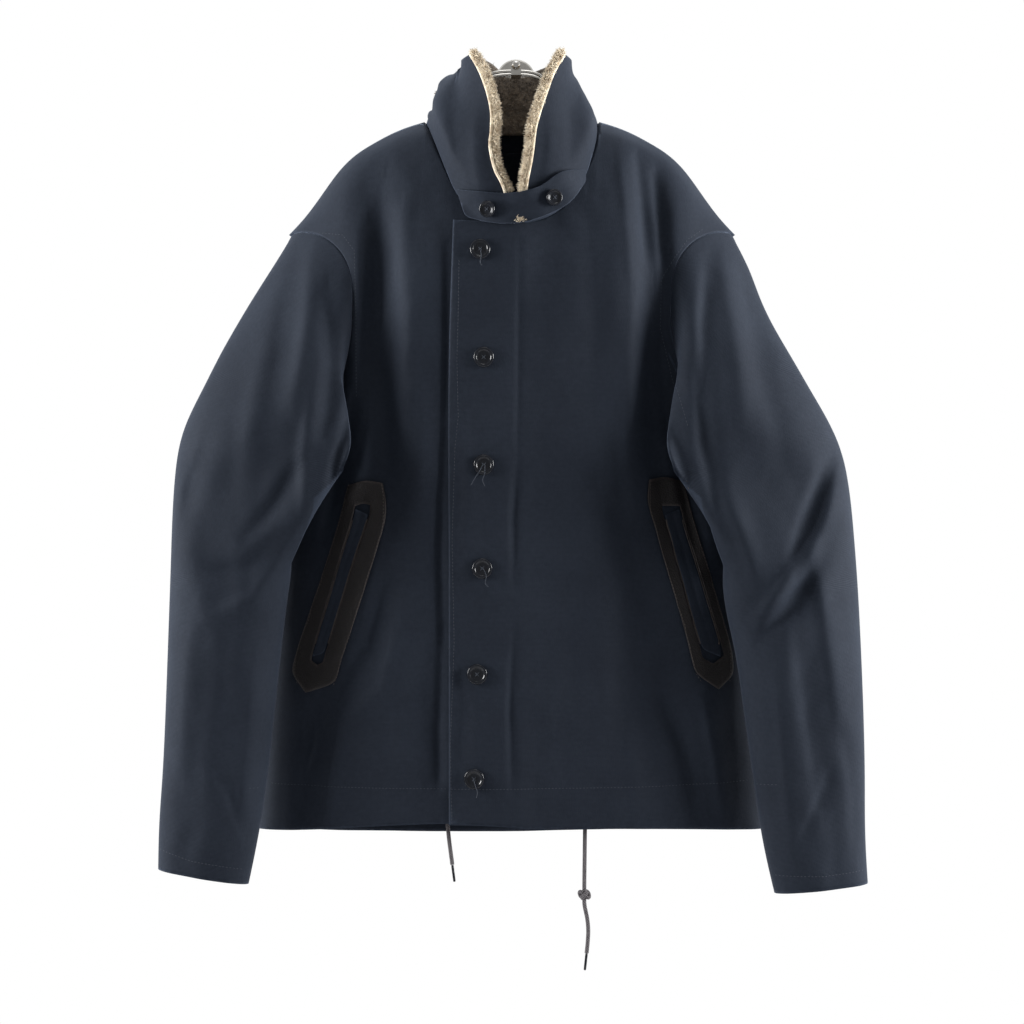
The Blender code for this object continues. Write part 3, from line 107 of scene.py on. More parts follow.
class Finish:
    """One material, and the nodes that are added to it."""

    def __init__(self, name):
        self.material = bpy.data.materials.new(name)
        self.material.use_nodes = True
        self.tree = self.material.node_tree
        self.shader = self.tree.nodes["Principled BSDF"]

    def add(self, kind, settings, inputs, output=0):
        node = self.tree.nodes.new(kind)
        for key, value in settings.items():
            if key == "stops":
                for stop, (at, color) in zip(node.color_ramp.elements, value):
                    stop.position = at
                    stop.color = (*color, 1.0)
            else:
                setattr(node, key, value)
        for key, value in inputs.items():
            if isinstance(value, Wire):
                self.tree.links.new(value.socket, node.inputs[key])
            else:
                node.inputs[key].default_value = value
        return Wire(self, node.outputs[output])

    def math(self, operation, *values):
        return self.add("ShaderNodeMath", {"operation": operation}, dict(enumerate(values)))

    def clamp(self, value, low, high):
        """0 below low, 1 above high, smooth between."""
        return self.add(
            "ShaderNodeMapRange", {"interpolation_type": "SMOOTHSTEP"}, {0: value, 1: low, 2: high}
        )

    def mix(self, share, first, second):
        one, two = (v if isinstance(v, Wire) else (*v, 1.0) for v in (first, second))
        return self.add("ShaderNodeMix", {"data_type": "RGBA"}, {0: share, 6: one, 7: two}, 2)

    def noise(self, place, scale, detail=3.0):
        inputs = {"Vector": place, "Scale": scale, "Detail": detail}
        return self.add("ShaderNodeTexNoise", {}, inputs)

    def object_place(self):
        return self.add("ShaderNodeTexCoord", {}, {}, "Object")

    def stretched(self, place, scale):
        return self.add("ShaderNodeMapping", {}, {"Vector": place, "Scale": scale})

    def bump(self, height, distance, strength=1.0, normal=None):
        inputs = {"Height": height, "Distance": distance, "Strength": strength}
        if normal is not None:
            inputs["Normal"] = normal
        return self.add("ShaderNodeBump", {}, inputs)

    def set(self, **inputs):
        """Give the shader its inputs; an underscore stands for a space."""
        for key, value in inputs.items():
            socket = self.shader.inputs[key.replace("_", " ")]
            if isinstance(value, Wire):
                self.tree.links.new(value.socket, socket)
            else:
                socket.default_value = value
        return self.material


# %% [markdown]
# ## Navy ribbed cloth
# Deck cloth is a hard cotton with fine ribs across it. The ribs follow the cut of each panel, so
# they read the piece's own map, in metres, and not its place in the room. The colour is never
# quite even: the cloth is a little paler where ribs stand up and where edges rub.

# %% The cloth's finish
RIB = 0.0012
RIB_WANDER = 0.0012
RIB_HEIGHT = 0.00022
FULL_TURN = 2 * math.pi


def ribbed_cloth(name, deep, pale):
    finish = Finish(name)
    cut = finish.add("ShaderNodeUVMap", {"uv_map": "cut"}, {})
    along = finish.add("ShaderNodeSeparateXYZ", {}, {0: cut}, "Y")
    place = finish.object_place()
    wander = finish.noise(place, 60.0)
    rib = finish.math("SINE", (along + wander * RIB_WANDER) * (FULL_TURN / RIB))
    threads = finish.noise(finish.stretched(cut, (900.0, 260.0, 1.0)), 1.0)
    mottle = finish.noise(place, 9.0, 5.0)
    fleck = finish.noise(place, 240.0, 2.0)
    rim = finish.add("ShaderNodeAttribute", {"attribute_name": "rim"}, {}, "Fac")
    worn = finish.clamp(rim + (fleck - 0.5) * 0.10, 0.90, 0.99)
    share = finish.clamp(mottle * 0.55 + fleck * 0.30 + rib * 0.04, 0.22, 0.72)
    color = finish.mix(share, deep, pale)
    color = finish.mix(worn * 0.35, color, tuple(v * 2.1 for v in pale))
    weave = finish.bump(rib * 0.25 + threads * 0.8, RIB_HEIGHT, 0.9)
    soft = finish.bump(mottle, 0.0020, 0.35, weave)
    return finish.set(
        Base_Color=color, Roughness=0.78 - rib * 0.04, Normal=soft,
        Sheen_Weight=0.16, Sheen_Roughness=0.35, Sheen_Tint=(0.50, 0.60, 0.80, 1.0),
        Specular_IOR_Level=0.16,
    )


navy = ribbed_cloth("navy_cloth", (0.0088, 0.0125, 0.0208), (0.0165, 0.0222, 0.0340))
print("the cloth's finish:", navy.name)

# %% [markdown]
# ## Leather, pile, thread, buttons and steel
# The pocket frames are a waxed brown-black leather with a pebbled grain that breaks the light.
# Pile is paler at its tips, and the dark brown of the lining's pile is painted shade for the
# inside of the collar's back. The thread is a plain dark cotton, the buttons are polished
# plastic, and the hanger is bright steel with fine scratches along it.

# %% The other finishes


def leather_finish():
    finish = Finish("dark_leather")
    place = finish.object_place()
    settings = {"feature": "DISTANCE_TO_EDGE"}
    inputs = {"Vector": place, "Scale": 520.0}
    grain = finish.add("ShaderNodeTexVoronoi", settings, inputs, "Distance")
    folds = finish.noise(place, 70.0, 4.0)
    rim = finish.add("ShaderNodeAttribute", {"attribute_name": "rim"}, {}, "Fac")
    worn = finish.clamp(rim + (folds - 0.5) * 0.3, 0.75, 1.0)
    color = finish.mix(folds, (0.0062, 0.0053, 0.0058), (0.0140, 0.0118, 0.0122))
    color = finish.mix(worn * 0.35, color, (0.050, 0.040, 0.038))
    height = finish.clamp(grain, 0.0, 0.25) * 0.4 + folds
    return finish.set(
        Base_Color=color, Roughness=0.42 + folds * 0.22,
        Normal=finish.bump(height, 0.0006, 0.8), Specular_IOR_Level=0.25,
    )


def pile_finish(name, root, tip):
    finish = Finish(name)
    place = finish.object_place()
    clump = finish.noise(place, 110.0, 4.0)
    hair = finish.noise(place, 300.0)
    color = finish.mix(finish.clamp(clump * 0.6 + hair * 0.4, 0.30, 0.66), root, tip)
    return finish.set(
        Base_Color=color, Roughness=0.95, Normal=finish.bump(hair, 0.0010, 0.7),
        Sheen_Weight=0.35, Sheen_Roughness=0.5,
    )


def thread_finish(name, color):
    finish = Finish(name)
    twist = finish.noise(finish.object_place(), 1600.0)
    shade = finish.mix(twist, tuple(v * 0.6 for v in color), tuple(v * 1.5 for v in color))
    return finish.set(Base_Color=shade, Roughness=0.8)


def gloss_finish():
    finish = Finish("gloss_black")
    place = finish.object_place()
    haze = finish.noise(place, 90.0, 4.0)
    color = finish.mix(haze, (0.0045, 0.0055, 0.0080), (0.0100, 0.0115, 0.0160))
    scratch = finish.bump(finish.noise(place, 600.0), 0.00004, 0.4)
    return finish.set(
        Base_Color=color, Roughness=0.10 + haze * 0.14, Normal=scratch, Specular_IOR_Level=0.32
    )


def steel_finish():
    finish = Finish("bright_steel")
    place = finish.object_place()
    haze = finish.noise(place, 130.0, 4.0)
    color = finish.mix(haze, (0.50, 0.48, 0.44), (0.80, 0.78, 0.74))
    drawn = finish.noise(finish.stretched(place, (200.0, 1500.0, 1500.0)), 1.0)
    scratch = finish.bump(drawn, 0.00003, 0.5)
    return finish.set(Base_Color=color, Metallic=1.0, Roughness=0.14 + haze * 0.16, Normal=scratch)


BRAID = 420.0


def cord_finish():
    finish = Finish("cord")
    place = finish.object_place()
    across = finish.add("ShaderNodeSeparateXYZ", {}, {0: place}, "X")
    down = finish.add("ShaderNodeSeparateXYZ", {}, {0: place}, "Z")
    one = finish.math("SINE", (down * BRAID + across * BRAID) * FULL_TURN)
    other = finish.math("SINE", (down * BRAID - across * BRAID) * FULL_TURN)
    braid = finish.math("MAXIMUM", one, other)
    fuzz = finish.noise(place, 700.0)
    share = finish.clamp(braid * 0.35 + fuzz, 0.20, 1.0)
    color = finish.mix(share, (0.045, 0.040, 0.044), (0.150, 0.138, 0.145))
    relief = finish.bump(braid + fuzz, 0.0004, 0.8)
    return finish.set(Base_Color=color, Roughness=0.85, Normal=relief)


leather = leather_finish()
cream = pile_finish("cream_pile", (0.36, 0.27, 0.17), (0.82, 0.73, 0.57))
# The lining pile has the cream pile's finish in far darker tones: its dark brown is painted shade
# for the inside of the collar's back.
brown = pile_finish("brown_pile", (0.062, 0.047, 0.036), (0.185, 0.148, 0.112))
thread = thread_finish("navy_thread", (0.020, 0.026, 0.038))
leather_thread = thread_finish("brown_thread", (0.055, 0.045, 0.042))
gloss = gloss_finish()
steel = steel_finish()
cord_look = cord_finish()
print("finishes:", len(bpy.data.materials))

# %% [markdown]
# ## From a solid to a smooth shell
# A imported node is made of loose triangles, so a copy is merged first and its triangles are
# joined into four-sided cells. The edges round the rim are marked with a full crease, which
# Subdivision Surface keeps, so neighbours still meet at their seams. A number called rim is 1 on
# those edges and falls to 0 inside the panel: the finishes read it to wear the edges pale.

# %% The shell maker
RIM_ANGLE = math.radians(58.0)
FLAT_ANGLE = math.radians(60.0)
SQUARE_ANGLE = math.radians(150.0)
MERGE = 0.00004


def link(name, mesh, material):
    piece = bpy.data.objects.new(name, mesh)
    bpy.context.scene.collection.objects.link(piece)
    mesh.materials.clear()
    mesh.materials.append(material)
    for face in mesh.polygons:
        face.material_index = 0
        face.use_smooth = True
    return piece


def settle(piece):
    """Apply a piece's modifiers, so that its points can be moved."""
    bpy.context.view_layer.update()
    graph = bpy.context.evaluated_depsgraph_get()
    done = bpy.data.meshes.new_from_object(piece.evaluated_get(graph))
    piece.modifiers.clear()
    piece.data = done
    return piece


def shell(name, node, level, crease, material):
    """A smooth copy of a node, with its rim kept as firm as the crease says."""
    mesh = bmesh.new()
    mesh.from_mesh(nodes[node].data)
    bmesh.ops.remove_doubles(mesh, verts=mesh.verts, dist=MERGE)
    bmesh.ops.join_triangles(
        mesh, faces=mesh.faces, angle_face_threshold=FLAT_ANGLE, angle_shape_threshold=SQUARE_ANGLE
    )
    keep = mesh.edges.layers.float.new("crease_edge")
    rim = mesh.verts.layers.float.new("rim")
    for edge in mesh.edges:
        if edge.is_manifold and edge.calc_face_angle(0.0) > RIM_ANGLE:
            edge[keep] = crease
            for vert in edge.verts:
                vert[rim] = 1.0
    data = bpy.data.meshes.new(name)
    mesh.to_mesh(data)
    mesh.free()
    piece = link(name, data, material)
    smooth = piece.modifiers.new("smooth", "SUBSURF")
    smooth.levels = smooth.render_levels = level
    settle(piece)
    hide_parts(node)
    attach(piece, "root")
    return piece


def points_of(piece):
    points = np.empty(len(piece.data.vertices) * 3)
    piece.data.vertices.foreach_get("co", points)
    return points.reshape(-1, 3)


def put_points(piece, points):
    piece.data.vertices.foreach_set("co", points.ravel())
    piece.data.update()


# %% [markdown]
# ## Creases listed one by one
# A jacket that hangs has long soft troughs from its shoulders and armpits, a pull at each elbow
# and small puckers along its sewing. Each crease here is a short line of points, x and z in
# metres as seen from the front, with a half width and a depth. A depth below zero is a ridge.
# The same field moves every piece that it passes through, so seams stay shut.

# %% The creases
FRONT_CREASES = (
    # from the right armhole down the front
    (((-0.146, -0.165), (-0.146, -0.250), (-0.149, -0.340)), 0.010, 0.0050),
    (((-0.130, -0.120), (-0.134, -0.230), (-0.130, -0.380)), 0.013, 0.0050),
    (((-0.112, -0.150), (-0.110, -0.280), (-0.118, -0.420)), 0.012, -0.0040),
    (((-0.158, -0.330), (-0.172, -0.390), (-0.190, -0.470)), 0.008, 0.0070),
    (((-0.140, -0.350), (-0.152, -0.400), (-0.172, -0.440)), 0.007, -0.0035),
    (((-0.090, -0.090), (-0.096, -0.180), (-0.092, -0.300)), 0.016, 0.0022),
    # the right skirt
    (((-0.126, -0.520), (-0.140, -0.580), (-0.172, -0.618)), 0.008, 0.0045),
    (((-0.118, -0.560), (-0.132, -0.620), (-0.170, -0.650)), 0.009, -0.0028),
    (((-0.196, -0.630), (-0.206, -0.690), (-0.214, -0.750)), 0.011, 0.0055),
    (((-0.172, -0.660), (-0.180, -0.700), (-0.186, -0.755)), 0.010, -0.0030),
    (((-0.085, -0.600), (-0.080, -0.670), (-0.082, -0.740)), 0.014, 0.0020),
    # the lap and its facing
    (((-0.0675, -0.185), (-0.0685, -0.300), (-0.0700, -0.380)), 0.0045, 0.0022),
    (((-0.0705, -0.370), (-0.0745, -0.474), (-0.0725, -0.574)), 0.0050, 0.0028),
    (((-0.0725, -0.560), (-0.0765, -0.660), (-0.0750, -0.750)), 0.0050, 0.0024),
    (((0.003, -0.180), (0.002, -0.330), (0.001, -0.400)), 0.0032, 0.0012),
    (((0.001, -0.400), (-0.003, -0.450), (-0.002, -0.520)), 0.0050, 0.0030),
    (((-0.002, -0.560), (-0.006, -0.640), (-0.004, -0.720)), 0.0050, 0.0028),
    (((-0.052, -0.360), (-0.046, -0.430), (-0.050, -0.500)), 0.009, -0.0022),
    (((-0.056, -0.560), (-0.052, -0.640), (-0.056, -0.720)), 0.008, 0.0020),
    # the left chest and its armhole
    (((0.120, -0.090), (0.124, -0.150), (0.128, -0.200)), 0.0055, 0.0040),
    (((0.138, -0.110), (0.143, -0.160), (0.146, -0.230)), 0.0060, 0.0045),
    (((0.104, -0.085), (0.110, -0.150), (0.118, -0.260)), 0.010, -0.0030),
    (((0.150, -0.200), (0.146, -0.290), (0.150, -0.370)), 0.011, 0.0060),
    (((0.134, -0.230), (0.130, -0.320), (0.134, -0.400)), 0.012, 0.0045),
    (((0.116, -0.240), (0.114, -0.340), (0.118, -0.440)), 0.013, -0.0035),
    (((0.152, -0.360), (0.168, -0.430), (0.182, -0.500)), 0.009, 0.0065),
    (((0.070, -0.140), (0.080, -0.230), (0.076, -0.340)), 0.018, 0.0025),
    # the left skirt
    (((0.100, -0.440), (0.108, -0.540), (0.104, -0.640)), 0.020, 0.0040),
    (((0.140, -0.620), (0.160, -0.670), (0.176, -0.740)), 0.012, 0.0045),
    (((0.186, -0.630), (0.198, -0.690), (0.206, -0.750)), 0.010, -0.0040),
    (((0.050, -0.480), (0.056, -0.600), (0.050, -0.740)), 0.020, 0.0022),
    (((0.110, -0.660), (0.116, -0.700), (0.118, -0.750)), 0.010, -0.0024),
    # the right sleeve
    (((-0.186, -0.230), (-0.180, -0.300), (-0.186, -0.372)), 0.011, 0.0075),
    (((-0.203, -0.190), (-0.206, -0.260), (-0.216, -0.340)), 0.010, -0.0045),
    (((-0.198, -0.330), (-0.206, -0.390), (-0.205, -0.450)), 0.008, -0.0040),
    (((-0.222, -0.200), (-0.232, -0.290), (-0.246, -0.370)), 0.012, 0.0030),
    (((-0.246, -0.270), (-0.258, -0.360), (-0.268, -0.440)), 0.013, -0.0030),
    (((-0.212, -0.400), (-0.236, -0.440), (-0.262, -0.470)), 0.009, 0.0042),
    (((-0.230, -0.470), (-0.262, -0.500), (-0.300, -0.500)), 0.010, 0.0038),
    (((-0.226, -0.490), (-0.256, -0.530), (-0.300, -0.548)), 0.010, -0.0030),
    (((-0.300, -0.370), (-0.318, -0.420), (-0.330, -0.470)), 0.010, 0.0030),
    (((-0.280, -0.560), (-0.284, -0.640), (-0.290, -0.720)), 0.012, 0.0026),
    (((-0.256, -0.600), (-0.262, -0.680), (-0.270, -0.760)), 0.010, -0.0026),
    (((-0.312, -0.540), (-0.322, -0.620), (-0.326, -0.700)), 0.012, -0.0020),
    (((-0.300, -0.690), (-0.280, -0.720), (-0.268, -0.760)), 0.007, 0.0022),
    # the left sleeve
    (((0.190, -0.195), (0.184, -0.260), (0.186, -0.330)), 0.009, 0.0050),
    (((0.206, -0.190), (0.214, -0.270), (0.222, -0.360)), 0.011, -0.0042),
    (((0.176, -0.300), (0.182, -0.380), (0.196, -0.450)), 0.009, 0.0055),
    (((0.226, -0.200), (0.240, -0.300), (0.262, -0.400)), 0.012, 0.0030),
    (((0.200, -0.420), (0.220, -0.470), (0.236, -0.520)), 0.010, -0.0038),
    (((0.303, -0.398), (0.288, -0.440), (0.268, -0.490)), 0.008, 0.0065),
    (((0.318, -0.400), (0.302, -0.450), (0.280, -0.500)), 0.008, -0.0040),
    (((0.286, -0.475), (0.262, -0.512), (0.236, -0.548)), 0.008, -0.0055),
    (((0.292, -0.498), (0.264, -0.540), (0.240, -0.566)), 0.008, 0.0055),
    (((0.286, -0.476), (0.300, -0.540), (0.316, -0.650)), 0.010, -0.0034),
    (((0.274, -0.560), (0.284, -0.640), (0.296, -0.730)), 0.012, 0.0036),
    (((0.252, -0.600), (0.262, -0.700), (0.270, -0.780)), 0.009, -0.0024),
    (((0.320, -0.650), (0.330, -0.720), (0.334, -0.780)), 0.009, 0.0020),
    (((0.306, -0.700), (0.290, -0.740), (0.276, -0.770)), 0.007, 0.0022),
    # the collar
    (((-0.064, -0.040), (-0.058, -0.080), (-0.056, -0.120)), 0.009, 0.0022),
    (((-0.040, -0.060), (-0.040, -0.100), (-0.034, -0.135)), 0.008, -0.0018),
    (((0.052, -0.030), (0.056, -0.070), (0.054, -0.110)), 0.009, 0.0022),
    (((0.034, -0.050), (0.034, -0.090), (0.030, -0.125)), 0.008, -0.0016),
)
BACK_CREASES = (
    (((-0.150, -0.150), (-0.146, -0.260), (-0.156, -0.370)), 0.014, 0.0060),
    (((-0.118, -0.150), (-0.116, -0.270), (-0.124, -0.390)), 0.015, -0.0040),
    (((0.146, -0.150), (0.142, -0.260), (0.150, -0.370)), 0.014, 0.0060),
    (((0.112, -0.150), (0.112, -0.280), (0.118, -0.390)), 0.015, -0.0040),
    (((-0.060, -0.110), (-0.050, -0.190), (-0.056, -0.280)), 0.018, 0.0030),
    (((0.060, -0.110), (0.044, -0.200), (0.050, -0.290)), 0.018, 0.0030),
    (((-0.200, -0.430), (-0.150, -0.470), (-0.090, -0.490)), 0.011, 0.0045),
    (((0.196, -0.440), (0.140, -0.490), (0.080, -0.505)), 0.011, 0.0045),
    (((-0.180, -0.470), (-0.130, -0.520), (-0.070, -0.540)), 0.010, -0.0030),
    (((-0.110, -0.560), (-0.118, -0.650), (-0.114, -0.750)), 0.014, 0.0045),
    (((-0.070, -0.580), (-0.070, -0.660), (-0.076, -0.750)), 0.014, -0.0035),
    (((0.000, -0.540), (0.006, -0.640), (0.000, -0.750)), 0.016, 0.0040),
    (((0.104, -0.570), (0.110, -0.660), (0.106, -0.750)), 0.014, 0.0045),
    (((0.060, -0.580), (0.064, -0.660), (0.062, -0.750)), 0.014, -0.0030),
    (((0.170, -0.600), (0.176, -0.680), (0.178, -0.750)), 0.012, 0.0035),
    (((-0.176, -0.600), (-0.180, -0.680), (-0.184, -0.750)), 0.012, 0.0035),
    (((-0.230, -0.230), (-0.244, -0.320), (-0.258, -0.400)), 0.012, 0.0045),
    (((0.226, -0.230), (0.240, -0.320), (0.252, -0.400)), 0.012, 0.0045),
    (((-0.228, -0.460), (-0.262, -0.486), (-0.304, -0.480)), 0.010, 0.0050),
    (((0.222, -0.460), (0.256, -0.490), (0.300, -0.484)), 0.010, 0.0050),
    (((-0.226, -0.510), (-0.262, -0.540), (-0.306, -0.530)), 0.010, -0.0036),
    (((0.224, -0.510), (0.258, -0.545), (0.300, -0.536)), 0.010, -0.0036),
    (((-0.286, -0.600), (-0.292, -0.690), (-0.300, -0.780)), 0.012, 0.0030),
    (((0.280, -0.600), (0.288, -0.690), (0.294, -0.780)), 0.012, 0.0030),
)
print("creases:", len(FRONT_CREASES), "in front,", len(BACK_CREASES), "behind")

# %% [markdown]
# ## The field of creases
# The distance from a point to a crease's line gives the crease its round section, and the share
# of the way along it fades both ends. A cross section of cloth is rarely even, so each trough is
# a little steeper on one side. A weak noise keeps the plain parts from looking like sheet metal.

# %% How far a crease moves the cloth


def smooth_step(at):
    at = np.clip(at, 0.0, 1.0)
    return at * at * (3.0 - 2.0 * at)


def crease_depth(creases, x, z):
    depth = np.zeros_like(x)
    for line, width, into in creases:
        best = np.full_like(x, 1.0)
        share = np.zeros_like(x)
        lean = np.zeros_like(x)
        pieces = len(line) - 1
        for k in range(pieces):
            (x0, z0), (x1, z1) = line[k], line[k + 1]
            length = math.hypot(x1 - x0, z1 - z0)
            t = ((x - x0) * (x1 - x0) + (z - z0) * (z1 - z0)) / length**2
            held = np.clip(t, 0.0, 1.0)
            off_x = x - x0 - held * (x1 - x0)
            off_z = z - z0 - held * (z1 - z0)
            far = np.hypot(off_x, off_z)
            nearer = far < best
            side = (x - x0) * (z1 - z0) - (z - z0) * (x1 - x0)
            best = np.where(nearer, far, best)
            share = np.where(nearer, (k + held) / pieces, share)
            lean = np.where(nearer, np.sign(side), lean)
        narrow = width * (1.0 - 0.25 * lean)
        ends = np.sin(np.pi * (0.08 + 0.84 * share)) ** 0.8
        depth += into * np.exp(-((best / narrow) ** 2)) * ends
    return depth


SOFT_SCALE, SOFT_DEPTH = 17.0, 0.0016
FINE_SCALE, FINE_DEPTH = 62.0, 0.0005


def softness(points):
    """Low uneven relief, the same at one place for every piece that passes there."""
    values = np.empty(len(points))
    for k, (x, y, z) in enumerate(points):
        wide = noise.noise((x * SOFT_SCALE, y * SOFT_SCALE, z * SOFT_SCALE * 0.6))
        fine = noise.noise((x * FINE_SCALE, y * FINE_SCALE, z * FINE_SCALE * 0.7))
        values[k] = wide * SOFT_DEPTH + fine * FINE_DEPTH
    return values


# height, depth in the room of the line between front and back, of the body and of a sleeve
BODY_MIDDLE = ((-0.80, -0.062), (-0.39, -0.062), (-0.17, -0.074), (0.02, -0.076))
SLEEVE_MIDDLE = (
    (-0.83, -0.136), (-0.50, -0.139), (-0.40, -0.117), (-0.30, -0.090), (-0.17, -0.075),
)
DEPTH_FADE = 0.022


def middle_depth(table, z):
    heights, depths = zip(*table)
    return np.interp(z, heights, depths)


def hang(points, table):
    """Move points in or out by the creases of the side that they are on."""
    x, y, z = points.T
    middle = middle_depth(table, z)
    front = smooth_step((middle - y) / DEPTH_FADE)
    back = smooth_step((y - middle) / DEPTH_FADE)
    soft = softness(points)
    moved = points.copy()
    moved[:, 1] += front * (crease_depth(FRONT_CREASES, x, z) + soft)
    moved[:, 1] -= back * (crease_depth(BACK_CREASES, x, z) + soft)
    return moved


# %% [markdown]
# ## The panels of the body
# Two fronts, the left one lapped over the right, and one back. Each keeps its own place as a
# separate shell, because that is how a jacket is cut. The map called cut lays the panel flat, with
# one unit for a metre, so the ribs keep one pitch on every piece.

# %% The body
# x and z of the two eyelets
STILL = ((-0.068, -0.734), (0.068, -0.730))
STILL_REACH = 0.022


def lay_flat(piece, across, along):
    """Write the map called cut from two lists, one value for each point."""
    data = piece.data
    corner = np.empty(len(data.loops), dtype=np.int32)
    data.loops.foreach_get("vertex_index", corner)
    layer = data.uv_layers.get("cut") or data.uv_layers.new(name="cut")
    layer.data.foreach_set("uv", np.column_stack((across[corner], along[corner])).ravel())


def hold_still(before, after):
    """Keep the cloth round the eyelets where the solids have it."""
    share = np.ones(len(before))
    for x, z in STILL:
        far = np.hypot(before[:, 0] - x, before[:, 2] - z)
        share *= smooth_step(far / STILL_REACH - 0.35)
    return before + (after - before) * share[:, None]


def body_shell(name, node, level=3, crease=1.0, material=navy):
    piece = shell(name, node, level, crease, material)
    flat = points_of(piece)
    lay_flat(piece, flat[:, 0], flat[:, 2])
    put_points(piece, hold_still(flat, hang(flat, BODY_MIDDLE)))
    return piece


front_right = body_shell("right_front_cloth", "front_right")
front_left = body_shell("left_front_cloth", "front_left")
back = body_shell("back_cloth", "back")
collar = body_shell("collar_cloth", "collar")
for piece in (front_right, front_left, back, collar):
    print(piece.name, len(piece.data.polygons), "cells")

# %% [markdown]
# ## The sleeves
# A sleeve is a tube that narrows to the cuff and bends a little forward at its elbow. Its map
# runs round the tube, so the ribs ring the sleeve as they do on the real cloth. Where the round
# map comes back to its start, the corners of one cell are moved by a whole turn.

# %% The sleeves
RING_LEVELS = 60
SLEEVE_RADIUS = 0.075


def ring_map(piece, points):
    """Lay a hanging tube flat: across is the way round, along is the way down its middle."""
    x, y, z = points.T
    low, high = z.min(), z.max()
    heights = np.linspace(low, high, RING_LEVELS)
    middles = []
    for height in heights:
        near = np.abs(z - height) < 1.5 * (high - low) / RING_LEVELS
        middles.append(((x[near].min() + x[near].max()) / 2, (y[near].min() + y[near].max()) / 2))
    middles = np.array(middles)
    mid_x = np.interp(z, heights, middles[:, 0])
    mid_y = np.interp(z, heights, middles[:, 1])
    steps = np.hypot(np.diff(middles[:, 0]), np.diff(heights))
    along = np.interp(z, heights, np.concatenate(([0.0], np.cumsum(steps))))
    slope = np.interp(z, heights, np.gradient(middles[:, 0], heights))
    along = along + (x - mid_x) * slope
    angle = np.arctan2(y - mid_y, x - mid_x)
    lay_flat(piece, angle * SLEEVE_RADIUS, along)
    uv = np.empty(len(piece.data.loops) * 2)
    piece.data.uv_layers["cut"].data.foreach_get("uv", uv)
    uv = uv.reshape(-1, 2)
    turn = FULL_TURN * SLEEVE_RADIUS
    for face in piece.data.polygons:
        first = face.loop_start
        span = slice(first, first + face.loop_total)
        uv[span, 0] += turn * np.round((uv[first, 0] - uv[span, 0]) / turn)
    piece.data.uv_layers["cut"].data.foreach_set("uv", uv.ravel())


def sleeve_shell(name, node):
    piece = shell(name, node, 3, 1.0, navy)
    points = points_of(piece)
    ring_map(piece, points)
    put_points(piece, hang(points, SLEEVE_MIDDLE))
    return piece


sleeve_right = sleeve_shell("right_sleeve_cloth", "sleeve_right")
sleeve_left = sleeve_shell("left_sleeve_cloth", "sleeve_left")
print("sleeves", len(sleeve_right.data.polygons), len(sleeve_left.data.polygons), "cells")

# %% [markdown]
# ## Pockets, lining and chin tab
# Each slanted pocket is a leather frame sewn round a cloth welt. The same creases move them, so
# they bend with the front that they are sewn to. The chin tab is a strap of the body's own cloth
# that closes the collar under the chin.

# %% What is sewn to the panels
frame_right = body_shell("right_pocket_leather", "pocket_frame_right", 2, 0.75, leather)
frame_left = body_shell("left_pocket_leather", "pocket_frame_left", 2, 0.75, leather)
welt_right = body_shell("right_pocket_welt_cloth", "pocket_welt_right", 2, 0.8)
welt_left = body_shell("left_pocket_welt_cloth", "pocket_welt_left", 2, 0.8)
tab = body_shell("chin_tab_cloth", "chin_tab", 3, 0.8)
# The lining's dark brown pile is painted shade for the inside of the collar's back.
lining = body_shell("neck_lining_pile", "collar_lining_back", 2, 0.8, brown)
pile_right = body_shell("right_collar_pile", "collar_pile_right", 2, 0.3, cream)
pile_left = body_shell("left_collar_pile", "collar_pile_left", 2, 0.3, cream)
print("sewn on:", [p.name for p in (frame_right, frame_left, welt_right, welt_left, tab, lining)])

# %% [markdown]
# ## Finding the cloth
# Buttons, stitches and threads sit on the cloth, so each is placed by a ray that comes from the
# camera's side. A tree of all the cloth's faces answers such rays quickly. The answer gives the
# place and the way that the cloth faces there.

# %% Rays onto the cloth


def face_tree(pieces):
    points, faces, start = [], [], 0
    for piece in pieces:
        points.extend(v.co.copy() for v in piece.data.vertices)
        faces.extend(tuple(i + start for i in p.vertices) for p in piece.data.polygons)
        start = len(points)
    return BVHTree.FromPolygons(points, faces)


AHEAD = -0.5
outer = (front_right, front_left, back, collar, sleeve_right, sleeve_left)
outer += (frame_right, frame_left, welt_right, welt_left, tab)
cloth_front = face_tree(outer)


def on_cloth(x, z, tree=cloth_front):
    """Where a ray from the front meets the cloth, and the way it faces there."""
    place, facing, _, _ = tree.ray_cast(Vector((x, AHEAD, z)), Vector((0.0, 1.0, 0.0)))
    if place is None:
        return None, None
    return place, facing if facing.y < 0.0 else -facing


print("the top button's cloth is at", on_cloth(-0.035, -0.185)[0])

# %% [markdown]
# ## Copies, threads and turned pieces
# Small pieces that repeat, such as stitches, are copies of one form, joined into one mesh. A
# thread or a cord is a curve with a round section, so a few points are enough. Buttons and tips
# are turned: spin draws one line of points round an axis.

# %% Helpers for small pieces


def joined(name, template, places, material):
    """One mesh that holds a copy of the template at each place."""
    points = np.array([v.co for v in template.verts])
    template.verts.index_update()
    faces = [[v.index for v in f.verts] for f in template.faces]
    every, cells = [], []
    for k, place in enumerate(places):
        matrix = np.array(place)
        every.append(points @ matrix[:3, :3].T + matrix[:3, 3])
        cells.extend([i + k * len(points) for i in face] for face in faces)
    data = bpy.data.meshes.new(name)
    data.from_pydata(np.concatenate(every).tolist(), [], cells)
    piece = link(name, data, material)
    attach(piece, "root")
    return piece


